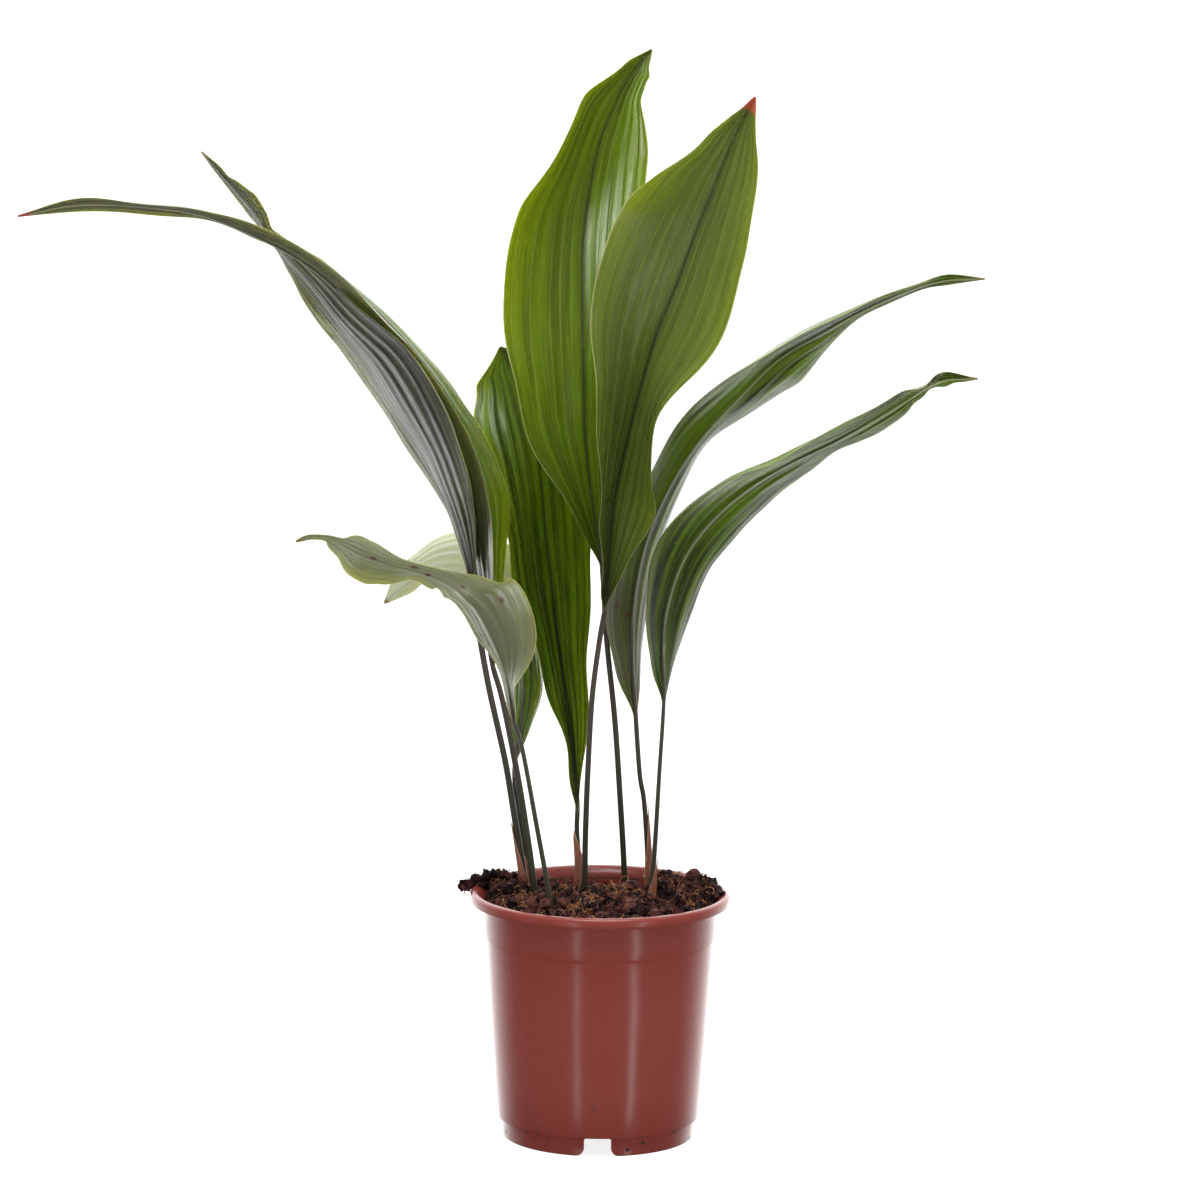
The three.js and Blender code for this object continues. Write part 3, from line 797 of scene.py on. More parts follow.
heap = soil_heap()
peat = soil_material("peat", PEAT_DARK, PEAT_BROWN, 260, 0.35)
peat_crumb = soil_material("peat_crumbs", PEAT_DARK, CRUMB_BROWN, 200, 0.5)
coir = soil_material("coconut_fibre", FIBRE_DARK, FIBRE_BRIGHT, 120, 0.2)
heap.data.materials.append(peat)

crumbs, crumb_sockets = crumb_tree()
fibres, fibre_sockets = fibre_tree()
clod_piece = scattered("soil_clods", heap, crumbs, crumb_sockets, {
    "Density": 12000.0, "Seed": 4, "Smallest": 0.0011, "Largest": 0.0046, "Roughness": 0.0060,
    "Roughness Scale": 330.0, "Fineness": 3, "Material": peat_crumb,
})
crumb_piece = scattered("soil_crumbs", heap, crumbs, crumb_sockets, {
    "Density": 96000.0, "Seed": 9, "Smallest": 0.0004, "Largest": 0.0015, "Roughness": 0.0018,
    "Roughness Scale": 800.0, "Fineness": 2, "Material": peat_crumb,
})
fibre_piece = scattered("soil_fibres", heap, fibres, fibre_sockets, {
    "Density": 95000.0, "Seed": 21, "Smallest": 0.0007, "Largest": 0.0052, "Roughness": 0.0052,
    "Roughness Scale": 220.0, "Thickness": 0.00027, "Sweep": 2.6, "Material": coir,
})


def without_strays(piece):
    """Takes out every whole bit that would reach into the pot's wall under its lip."""
    made = bmesh.new()
    made.from_mesh(piece.data)
    taken = set()
    strays = []
    for start in made.verts:
        place = (start.co - POT_AXIS) / MM
        if start.index in taken or place.z > UNDER_LIP or math.hypot(place.x, place.y) < WALL_INSIDE:
            continue
        waiting = [start]
        while waiting:
            corner = waiting.pop()
            if corner.index in taken:
                continue
            taken.add(corner.index)
            strays.append(corner)
            waiting += [edge.other_vert(corner) for edge in corner.link_edges]
    bmesh.ops.delete(made, geom=strays, context="VERTS")
    made.to_mesh(piece.data)
    made.free()


for piece in (clod_piece, crumb_piece, fibre_piece):
    without_strays(piece)
for piece in (heap, clod_piece, crumb_piece, fibre_piece):
    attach(piece, "root")
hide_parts("soil")


# Leaf blades: nine long leathery blades. Each is one thin sheet folded along its midrib, with a narrow
# channel above and a keel below, pleated lengthwise along its veins, and edged with a thin pale margin.

BLADE_RINGS = 136
BLADE_COLUMNS = 34
COLUMN_CROWDING = 1.3
BLADE_BOW = 26.0
OWN_BOWS = {
    "centre_rear": (-30.0, -30.0), "centre_tall": (-36.0, -34.0), "centre_front": (-42.0, -34.0),
    "right_lower": (-55.0, 66.0), "right_upper": (-55.0, 60.0), "left_outer": (-22.0, 45.0),
}
OWN_PLEAT_DEPTHS = {
    "left_outer": 0.6, "centre_tall": 0.3, "right_upper": 0.16, "right_lower": 0.16, "centre_front": 0.3,
    "left_drooping": 0.25,
}
BLADE_THICKNESS = 0.2
MARGIN_THICKNESS = 0.09
PLEATS = 5.0
PLEAT_DEPTH = 0.42
FOOT_SHARE = 0.55
FOOT_HALF_WIDTH = 0.9
LEAST_HALF_WIDTH = 0.35
WIDE_ENOUGH = 24
PLEATS_BEGIN = (0.03, 0.16)
PLEATS_END = (0.78, 1)
RIPPLE_LENGTH = 9.5
RIPPLE_HEIGHT = 0.75
KEEL_AT_FOOT = 0.85
KEEL_LOST_AT_TIP = 0.65
KEEL_WIDTH = 1.1
CHANNEL_DEPTH = 0.3
CHANNEL_WIDTH = 0.7

# How many swells of the unevenness lie across a half, how long one is, and how high it is.
WAVES = (1.5, 46, 1.3)
WRINKLES = (6.5, 30, 0.42)

# The largest shares of the blade's half-width that its thickness, its keel and its channel take.
THICKEST_SHARE = 0.12
KEEL_SHARE = 0.2
CHANNEL_SHARE = 0.06

# A station is a point of the midrib, the half-width, and the angles at which the left and the right half
# stand out there: 0 lies across the view, above 0 comes forward, and below 0 goes back. Many of the numbers
# in this table and in the next one were printed by a program, from points picked on the photograph,
# and partly corrected. They aren't worked out from driving dimensions.
BLADES = {
    "left_arching": [
        (-63, 12, 271, 2, -95, 60), (-67, 12, 290, 12, -115, 60), (-72, 11, 313, 23, -130, 62),
        (-77, 8, 343, 33, -133, 66), (-81, 6, 368, 36, -134, 64), (-92, 3, 397, 38, -129, 62),
        (-110, -2, 431, 38, -116, 58), (-128, -9, 462, 34, -103, 63), (-146, -17, 485, 28, -100, 64),
        (-167, -27, 505, 22, -98, 62), (-191, -34, 520, 17, -80, 60), (-226, -40, 535, 14, -74, 71),
        (-263, -44, 540.5, 11, -61, 77), (-296, -47, 541, 8, -58, 53), (-329, -50, 535, 1, -58, 60),
    ],
    "left_outer": [
        (-76, 0, 318, 2, -60, 40), (-78, 1, 334, 9, -74, 52), (-85, 3, 356, 24, -80, 58),
        (-93, 4, 376, 36, -77, 60), (-103, 2, 398, 42, -72, 58), (-117, -1, 421, 44, -71, 54),
        (-133, -2, 447, 42, -71, 53), (-152, 1, 471, 35, -67, 63), (-170, 12, 492, 23, -62, 60),
        (-191, 21, 515, 16, -76, 62), (-201, 22, 529, 15, -74, 55), (-212, 25, 542, 11, -71, 54),
        (-232, 32, 564, 1, -60, 54),
    ],
    "left_drooping": [
        (-50, -34, 248, 2, -60, 61), (-54, -36, 272, 17, -74, 79), (-61, -40, 292, 29, -72, 32),
        (-71, -42, 312, 36, -72, 31), (-78, -44, 320, 37, -70, 42), (-85, -46, 327, 36, -69, 60),
        (-101, -50, 335, 33, -72, 70), (-119, -54, 340, 27, -56, 67), (-136, -57, 346, 23, -48, 55),
        (-148, -58, 352.5, 14, -58, 55), (-155, -60, 356.5, 6, -65, 60), (-165, -61, 357.5, 5, -65, 65),
        (-173, -62, 355, 1, -50, 50),
    ],
    "left_rear": [
        (-50, 20, 215, 2, -60, -60), (-47, 24, 235, 14, -50, -65), (-45, 30, 257, 22, -62, -66),
        (-49, 40, 283, 28, -70, -70), (-60, 50, 305, 31, -75, -50), (-78, 58, 316, 31, -75, -38),
        (-95, 64, 317, 28, -75, -45), (-109, 68, 313, 19, -70, -55), (-119, 71, 306, 11, -50, -50),
        (-128, 74, 297, 1, -45, -50),
    ],
    "centre_rear": [
        (-14, 48, 187, 3, 49, 69), (-17, 52, 214, 13, 79, 54), (-21, 58, 244, 24, 68, 58),
        (-26, 64, 275, 34, 69, 57), (-30, 70, 307, 41, 61, 55), (-34, 76, 337, 44, 62, 52),
        (-37, 82, 367, 43, 52, 51), (-41, 88, 394, 39, 36, 51), (-48, 94, 417, 31, 15, 52),
        (-55, 98, 433, 20, 0, 54), (-62, 102, 445, 1, 0, 54),
    ],
    "centre_tall": [
        (-1, 34, 327, 2, 56, 61), (-4, 36, 345, 15, 65, 68), (-8, 38, 371, 30, 56, 63),
        (-12, 40, 405, 42, 41, 60), (-13, 42, 440, 47, 30, 56), (-14, 46, 474, 48, 20, 52),
        (-14, 50, 508, 47, 26, 46), (-11, 54, 539, 42, 40, 42), (-5, 58, 570, 35, 56, 37),
        (4, 62, 592, 24, 47, 45), (13, 66, 609, 12, 55, 39), (24, 70, 622, 1, 50, 40),
    ],
    "centre_front": [
        (1, 2, 309, 2, 60, 77), (2, -2, 331, 16, 79, 61), (5, -8, 369, 30, 78, 45),
        (11, -14, 401, 41, 71, 66), (19, -20, 436, 46, 60, 76), (28, -25, 469, 48, 39, 54),
        (39, -30, 499, 48, 20, 44), (49, -34, 528, 43, 6, 46), (58, -38, 552, 36, 29, 48),
        (67, -42, 576, 24, 46, 41), (74, -45, 592, 13, 49, 49), (81, -48, 606, 1, 49, 49),
    ],
    "right_upper": [
        (19, 30, 244, 3, 50, -62), (17, 32, 270, 19, 57, -79), (17, 34, 302, 28, 57, -74),
        (23, 36, 338, 34, 66, -75), (36, 38, 371, 37, 66, -80), (54, 40, 400, 38, 58, -86),
        (75, 42, 423, 36, 61, -68), (99, 44, 447, 32, 72, -50), (124, 46, 462, 26, 71, -62),
        (149, 48, 476, 18, 70, -73), (178, 50, 488.5, 10, 72, -76), (196, 51, 493, 7, 50, -55),
        (217, 52, 494, 1, 60, -60),
    ],
    "right_lower": [
        (35, -12, 258, 2, 50, -55), (34, -16, 284, 16, 66, -61), (36, -20, 311, 26, 62, -55),
        (45, -26, 341, 33, 57, -56), (61, -32, 365, 36, 58, -57), (81, -38, 384, 35, 63, -60),
        (103, -44, 399, 32, 72, -66), (127, -50, 412, 26, 67, -72), (150, -55, 426, 20, 63, -64),
        (171, -60, 440, 13, 58, -59), (180, -62, 446.5, 9, 76, -78), (190, -64, 450.5, 8, 45, -50),
        (207, -66, 452, 1, 60, -60),
    ],
}

# A stalk is its radius under the blade and at the soil, and a row of points from the blade to the soil.
STALKS = {
    "left_arching": (1.5, 2.1, [(-58, 11, 254), (-51, 9, 222), (-44.5, 7, 186), (-38, 5, 140)]),
    "left_outer": (1.7, 1.9, [(-73, 1, 303), (-65.5, 4, 262), (-56, 8, 219), (-51, 10, 190), (-43, 10, 140)]),
    "left_drooping": (1.2, 1.5, [(-45.5, -36, 234), (-38, -38, 196), (-28, -38, 140)]),
    "left_rear": (1.4, 1.6, [(-50, 20, 201), (-48, 21, 189), (-45, 22, 168), (-41, 22, 138)]),
    "centre_rear": (1.4, 1.6, [(-14, 45, 168), (-12, 42, 143)]),
    "centre_tall": (1.6, 1.8, [(2, 36, 284), (7, 38, 239), (10.5, 40, 195), (14, 42, 142)]),
    "centre_front": (1.5, 1.8, [(-2, 2, 290), (-6, 4, 255), (-8, 8, 211), (-9, 11, 171), (-9, 12, 140)]),
    "right_upper": (1.4, 1.5, [(22, 32, 206), (25, 33, 187), (28, 34, 141)]),
    "right_lower": (1.1, 1.6, [(33, -10, 215), (31, -7, 171), (29, -6, 140)]),
}

# A swell of a margin is its side, its place along the blade, its half-length there, and its millimetres.
SWELLS = {
    "centre_tall": [
        (-1, 0.955, 0.016, 1.5), (-1, 0.87, 0.03, 2.0), (-1, 0.77, 0.025, -0.6), (-1, 0.69, 0.03, 1.9),
        (1, 0.905, 0.022, -3.2), (1, 0.957, 0.01, 2.2), (1, 0.8, 0.05, -0.9),
    ],
    "centre_front": [
        (-1, 0.835, 0.045, 5.0), (-1, 0.92, 0.02, 1.5), (-1, 0.975, 0.012, -1.2), (1, 0.66, 0.06, -2.0),
        (1, 0.2, 0.05, 1.5),
    ],
    "centre_rear": [(-1, 0.955, 0.022, 3.5)],
    "left_outer": [
        (-1, 0.75, 0.02, 3.5), (-1, 0.33, 0.06, -4.0), (1, 0.81, 0.025, -5.5), (1, 0.87, 0.014, 2.0),
        (1, 0.93, 0.016, -3.0),
    ],
    "left_arching": [
        (1, 0.8, 0.025, 5.0), (1, 0.56, 0.06, -3.0), (-1, 0.34, 0.03, -3.0), (1, 0.36, 0.03, 1.5),
        (1, 0.44, 0.02, -1.5),
    ],
    "left_drooping": [
        (1, 0.84, 0.03, 4.0), (-1, 0.73, 0.03, 3.0), (-1, 0.41, 0.04, 6.0), (-1, 0.84, 0.02, -2.0),
    ],
    "right_lower": [
        (-1, 0.43, 0.05, 4.0), (-1, 0.6, 0.04, 2.6), (-1, 0.73, 0.05, -4.0), (-1, 0.88, 0.03, 2.0),
        (1, 0.7, 0.04, -8.0), (1, 0.57, 0.05, -4.0), (1, 0.87, 0.02, -5.0), (1, 0.955, 0.02, -3.2),
        (1, 0.17, 0.05, 1.5),
    ],
    "right_upper": [
        (-1, 0.55, 0.06, -3.0), (-1, 0.8, 0.05, -2.4), (1, 0.8, 0.05, -9.0), (1, 0.93, 0.04, -1.5),
        (-1, 0.25, 0.04, -1.0),
    ],
}

# A scar is its place along the blade, its place across it from -1 to 1, and its reach in millimetres.
SCARS = {
    "right_upper": [(0.215, -0.45, 3.2), (0.2, -0.1, 2.4), (0.205, 0.35, 3.4), (0.085, -0.4, 1.2)],
    "right_lower": [(0.26, -0.6, 1.3), (0.31, -0.3, 1.1), (0.29, -0.75, 1.0), (0.34, -0.1, 1.0)],
    "centre_front": [(0.235, -0.25, 2.0)],
    "left_drooping": [
        (0.44, -0.12, 2.4), (0.49, 0.18, 2.2), (0.54, -0.22, 2.6), (0.59, 0.06, 2.4), (0.64, 0.24, 2.6),
        (0.69, -0.10, 2.2), (0.76, 0.12, 2.4), (0.82, -0.2, 2.0), (0.36, -0.5, 2.2), (0.30, -0.7, 2.0),
        (0.40, 0.5, 2.2), (0.52, 0.6, 2.4), (0.61, 0.55, 2.2),
    ],
}

LOWER_SIDE_SEEN = ("left_arching", "left_outer", "left_drooping", "right_upper", "right_lower")


def smooth_line(rows, places):
    """The rows' values at places from 0 to 1 of a smooth line through them all."""
    rows = np.asarray(rows, float)
    last = len(rows) - 1
    held = np.vstack([2 * rows[0] - rows[1], rows, 2 * rows[-1] - rows[-2]])
    reach = np.clip(np.asarray(places, float) * last, 0, last)
    i = np.minimum(reach.astype(int), last - 1)
    u = (reach - i)[:, None]
    a, b, c, d = held[i], held[i + 1], held[i + 2], held[i + 3]
    curve = 2 * b + (c - a) * u + (2 * a - 5 * b + 4 * c - d) * u**2 + (3 * b - a - 3 * c + d) * u**3
    return curve / 2


def even_places(rows, count):
    """Places that lie at equal distances along the line through the rows, and how far each is along it."""
    dense = np.linspace(0, 1, 1600)
    steps = np.linalg.norm(np.diff(smooth_line(rows, dense)[:, :3], axis=0), axis=1)
    run = np.concatenate([[0], np.cumsum(steps)])
    wanted = np.linspace(0, run[-1], count)
    return np.interp(wanted, run, dense), wanted


def unit(vectors):
    return vectors / np.maximum(np.linalg.norm(vectors, axis=-1, keepdims=True), 1e-9)


def directions(rows, places):
    """At each place of the line: the way it runs, the way to the front, and the way to the side."""
    step = 1e-3
    ahead = smooth_line(rows, np.minimum(places + step, 1))[:, :3]
    behind = smooth_line(rows, np.maximum(places - step, 0))[:, :3]
    along = unit(ahead - behind)
    viewer = np.array([0.0, -1.0, 0.0])
    front = unit(viewer - (along @ viewer)[:, None] * along)
    return along, front, np.cross(along, front)


def ease(value, low, high):
    share = np.clip((value - low) / (high - low), 0, 1)
    return share * share * (3 - 2 * share)


def uneven(kind, spread, distance, seed):
    """A soft noise over the blade, of the kind's number across, length and height."""
    number, length, height = kind
    places = zip((spread * number).ravel(), (distance / length).ravel())
    flat = [noise.noise(Vector((u, v, seed))) for u, v in places]
    return np.array(flat).reshape(spread.shape) * height


def blade_half(angles, widths, hand, bow):
    """How far a half stands to the side and to the front of the midrib, column by column."""
    outward = np.linspace(0, 1, BLADE_COLUMNS + 1) ** COLUMN_CROWDING
    turn = np.radians(angles)[:, None] + bow * (0.5 - outward)[None, :]
    reach = np.repeat(widths[:, None], BLADE_COLUMNS + 1, axis=1) * (bow / 2) / math.sin(bow / 2)
    steps = np.diff(outward)[None, :] * reach[:, 1:]
    middle = (turn[:, 1:] + turn[:, :-1]) / 2
    start = np.zeros((len(widths), 1))
    aside = np.hstack([start, np.cumsum(np.cos(middle) * steps, axis=1)])
    forward = np.hstack([start, np.cumsum(np.sin(middle) * steps, axis=1)])
    return hand * aside, forward, outward


def blade_sheet(name, seed):
    """The blade's middle surface, with where each of its points lies on the leaf."""
    rows = [list(r) for r in BLADES[name]]
    top_of_stalk = STALKS[name][2][0]
    foot = [rows[0][k] + (top_of_stalk[k] - rows[0][k]) * FOOT_SHARE for k in range(3)]
    rows.insert(0, foot + [FOOT_HALF_WIDTH] + rows[0][4:])
    places, run = even_places(rows, BLADE_RINGS)
    values = smooth_line(rows, places)
    along, front, side = directions(rows, places)
    widths = np.maximum(values[:, 3], LEAST_HALF_WIDTH)
    plain_bow = -BLADE_BOW if name in LOWER_SIDE_SEEN else BLADE_BOW
    bows = np.radians(OWN_BOWS.get(name, (plain_bow, plain_bow)))
    reaches = {-1: widths.copy(), 1: widths.copy()}
    for hand, middle, half_length, amount in SWELLS.get(name, ()):
        share = run / run[-1]
        reaches[hand] += amount * np.exp(-(((share - middle) / half_length) ** 2))
    left = blade_half(values[:, 4], reaches[-1], -1, bows[0])
    right = blade_half(values[:, 5], reaches[1], 1, bows[1])
    aside = np.hstack([left[0][:, :0:-1], right[0]])
    forward = np.hstack([left[1][:, :0:-1], right[1]])
    across = np.concatenate([-left[2][:0:-1], right[2]])
    sheet = values[:, None, :3] + aside[..., None] * side[:, None] + forward[..., None] * front[:, None]
    facing = unit(np.cross(np.gradient(sheet, axis=1), np.gradient(sheet, axis=0)))

    outward = np.abs(across)[None, :]
    distance = np.repeat(run[:, None], across.size, axis=1)
    spread = np.repeat(across[None, :], run.size, axis=0)
    fullness = np.clip(widths / WIDE_ENOUGH, 0, 1)[:, None]
    pleated = ease(outward, *PLEATS_BEGIN) * (1 - ease(outward, *PLEATS_END))
    pleats = np.cos(2 * math.pi * PLEATS * outward) * pleated
    waves = uneven(WAVES, spread, distance, seed) * outward
    wrinkles = uneven(WRINKLES, spread, distance, seed + 9) * ease(outward, 0, 0.2)
    phase = np.where(spread < 0, seed, seed * 2.3)
    ripple = np.sin(distance / RIPPLE_LENGTH + phase) * RIPPLE_HEIGHT * outward**3
    lift = fullness * (OWN_PLEAT_DEPTHS.get(name, PLEAT_DEPTH) * pleats + waves + wrinkles + ripple)
    sheet = sheet + facing * lift[..., None]
    facing = unit(np.cross(np.gradient(sheet, axis=1), np.gradient(sheet, axis=0)))
    scar = np.zeros_like(distance)
    for at_along, at_across, size in SCARS.get(name, ()):
        off_side = (spread - at_across) * widths[:, None]
        off_run = distance - at_along * run[-1]
        scar = np.maximum(scar, np.exp(-(off_side**2 + off_run**2) / size**2))
    return sheet, facing, {
        "scar": scar,
        "across": spread,
        "run": distance * MM,
        "along": distance / run[-1],
        "from_rib": outward * widths[:, None] * MM,
        "from_margin": (1 - outward) * widths[:, None] * MM,
    }


def two_walls(rings, columns):
    """The faces of a closed thin sheet: a grid of points for one wall, then the same grid for the other."""
    half = rings * columns
    faces = []
    for i in range(rings - 1):
        for j in range(columns - 1):
            a = i * columns + j
            faces.append((a, a + 1, a + 1 + columns, a + columns))
            faces.append((half + a, half + a + columns, half + a + 1 + columns, half + a + 1))
        for a, b in ((i * columns, (i + 1) * columns), ((i + 2) * columns - 1, (i + 1) * columns - 1)):
            faces.append((a, b, half + b, half + a))
    last = (rings - 1) * columns
    for j in range(columns - 1):
        faces.append((j, half + j, half + j + 1, j + 1))
        faces.append((last + j, last + j + 1, half + last + j + 1, half + last + j))
    return faces


def blade_solid(name, seed):
    """A closed blade from its middle surface: the side that faces the view, then the other side."""
    sheet, facing, leaf_places = blade_sheet(name, seed)
    rings, columns = sheet.shape[:2]
    outward = np.abs(leaf_places["across"])
    to_rib = leaf_places["from_rib"] / MM
    wide = (leaf_places["from_rib"] + leaf_places["from_margin"]) / MM
    thick = BLADE_THICKNESS + (MARGIN_THICKNESS - BLADE_THICKNESS) * outward**2
    thick = np.minimum(thick, THICKEST_SHARE * wide)
    keel_height = np.minimum(KEEL_AT_FOOT - KEEL_LOST_AT_TIP * leaf_places["along"], KEEL_SHARE * wide)
    keel = keel_height * np.exp(-((to_rib / KEEL_WIDTH) ** 2))
    channel = np.minimum(CHANNEL_DEPTH, CHANNEL_SHARE * wide) * np.exp(-((to_rib / CHANNEL_WIDTH) ** 2))
    lower_seen = name in LOWER_SIDE_SEEN
    near = thick + (keel if lower_seen else -channel)
    far = thick + (-channel if lower_seen else keel)
    solid = np.stack([sheet + facing * near[..., None], sheet - facing * far[..., None]])
    points = [from_pot(*p) for p in solid.reshape(-1, 3)]
    blade = mesh_object("leaf_" + name, points, two_walls(rings, columns))
    on_both_sides = {label: np.tile(values.ravel(), 2) for label, values in leaf_places.items()}
    on_both_sides["lower"] = np.repeat([float(lower_seen), float(not lower_seen)], rings * columns)
    for label, values in on_both_sides.items():
        carry(blade, label, values)
    return blade


def reading(tree, label):
    """A value that the mesh carries at its points."""
    return node_in(tree, "ShaderNodeAttribute", attribute_name=label).outputs["Fac"]


def stretched(tree, first, second, third):
    node = node_in(tree, "ShaderNodeCombineXYZ")
    for socket, value in zip(node.inputs, (first, second, third)):
        feed(tree, socket, value)
    return node.outputs["Vector"]


BANDS = (6.0, 8.0)
STREAKS = (46.0, 12.0)
MIDRIB_EDGE = (0.0003, 0.0011)
HEM_WIDTH = 0.00035
HEM_RAGGEDNESS = 0.0006
MOST_PALE = 0.8
TORN_BROWN = (0.075, 0.022, 0.014, 1.0)


def tissue_group():
    """Leaf tissue: lengthwise bands and fine streaks, veins, midrib, margin and tip, on both sides."""
    tree, given, out = group(
        "blade_tissue",
        {
            "Upper Dark": (0.02, 0.06, 0.01, 1.0), "Upper Light": (0.08, 0.2, 0.01, 1.0),
            "Lower Dark": (0.05, 0.08, 0.03, 1.0), "Lower Light": (0.15, 0.2, 0.08, 1.0),
            "Vein": (0.3, 0.4, 0.1, 1.0), "Margin": (0.5, 0.5, 0.25, 1.0), "Tip": (0.4, 0.2, 0.08, 1.0),
            "Midrib": (0.03, 0.04, 0.02, 1.0), "Keel": (0.4, 0.42, 0.25, 1.0),
            "Seed": 0.0, "Veins": 8.0, "Vein Strength": 0.4, "Flecks": 0.12, "Contrast": 0.75,
            "Pale From": 2.0, "Pale To": 3.0, "Tip Start": 0.985,
            "Foot": (0.03, 0.028, 0.02, 1.0), "Foot End": 0.14, "Pale Colour": (0.66, 0.68, 0.60, 1.0),
        },
        {"Color": "NodeSocketColor", "Roughness": "NodeSocketFloat", "Height": "NodeSocketFloat"},
    )
    use = given.outputs
    across, run, lower = reading(tree, "across"), reading(tree, "run"), reading(tree, "lower")
    rib, edge, along = reading(tree, "from_rib"), reading(tree, "from_margin"), reading(tree, "along")
    bands_at = stretched(tree, times(tree, across, BANDS[0]), times(tree, run, BANDS[1]), use["Seed"])
    lines_at = stretched(tree, times(tree, across, STREAKS[0]), times(tree, run, STREAKS[1]), use["Seed"])
    bands = step_up(tree, clouds(tree, bands_at, 1.0, 3.0, 0.55), 0.34, 0.66)
    lines = clouds(tree, lines_at, 1.0, 3.0, 0.6)
    banded = times(tree, maths(tree, "SUBTRACT", bands, 0.5), use["Contrast"])
    tone = maths(tree, "MULTIPLY_ADD", lines, 0.9, maths(tree, "ADD", banded, 0.03), clamp=True)
    upper = blend_colour(tree, tone, use["Upper Dark"], use["Upper Light"])
    under = blend_colour(tree, tone, use["Lower Dark"], use["Lower Light"])

    wobble = maths(tree, "MULTIPLY_ADD", lines, 0.25, times(tree, across, use["Veins"]))
    ridge = maths(tree, "PINGPONG", wobble, 0.5)
    vein = step_down(tree, ridge, 0.0, 0.11)
    vein = times(tree, vein, step_up(tree, rib, 0.001, 0.004))
    fine = maths(tree, "PINGPONG", times(tree, wobble, 5.0), 0.5)
    fine = step_down(tree, fine, 0.0, 0.3)
    ribs = maths(tree, "MULTIPLY_ADD", fine, 0.22, vein, clamp=True)
    upper = blend_colour(tree, times(tree, ribs, use["Vein Strength"]), upper, use["Vein"])
    faint = times(tree, ribs, times(tree, use["Vein Strength"], 0.6))
    under = blend_colour(tree, faint, under, use["Keel"])

    # Along the midrib the upper side gets a dark line, partly its own colour and partly painted shade in its
    # channel, and the lower side a pale keel.
    centre = step_down(tree, rib, *MIDRIB_EDGE)
    upper = blend_colour(tree, times(tree, centre, 0.75), upper, use["Midrib"])
    under = blend_colour(tree, times(tree, centre, 0.75), under, use["Keel"])
    colour = blend_colour(tree, lower, upper, under)
    # Darker towards the blade's foot: partly the blade's own colour and partly painted shade low in the
    # plant.
    at_foot = step_down(tree, along, 0.02, use["Foot End"])
    colour = blend_colour(tree, times(tree, at_foot, 0.7), colour, use["Foot"])
    # The blade turns paler towards its end, between a start and an end along it.
    paled = times(tree, step_up(tree, along, use["Pale From"], use["Pale To"]), MOST_PALE)
    colour = blend_colour(tree, paled, colour, use["Pale Colour"])

    ragged = times(tree, clouds(tree, lines_at, 2.0, 2.0), HEM_RAGGEDNESS)
    hem = step_down(tree, edge, ragged, maths(tree, "ADD", ragged, HEM_WIDTH))
    colour = blend_colour(tree, hem, colour, use["Margin"])
    past = maths(tree, "SUBTRACT", maths(tree, "MULTIPLY_ADD", lines, 0.012, along), use["Tip Start"])
    end = step_up(tree, past, 0.0, 0.012)
    colour = blend_colour(tree, end, colour, use["Tip"])
    place = node_in(tree, "ShaderNodeTexCoord").outputs["Object"]
    fleck = specks(tree, place, 240.0, 0.24, 0.2)
    colour = blend_colour(tree, times(tree, fleck, use["Flecks"]), colour, use["Margin"])
    scar = reading(tree, "scar")
    torn = step_up(tree, times(tree, scar, clouds(tree, place, 700, 4.0, 0.7)), 0.22, 0.36)
    colour = blend_colour(tree, torn, colour, TORN_BROWN)

    gloss = maths(tree, "MULTIPLY_ADD", lines, 0.18, maths(tree, "MULTIPLY_ADD", lower, 0.04, 0.17))
    relief = maths(tree, "MULTIPLY_ADD", lines, 0.7, times(tree, ribs, -0.6))
    for socket, value in (("Color", colour), ("Roughness", gloss), ("Height", relief)):
        tree.links.new(value, out.inputs[socket])
    return tree


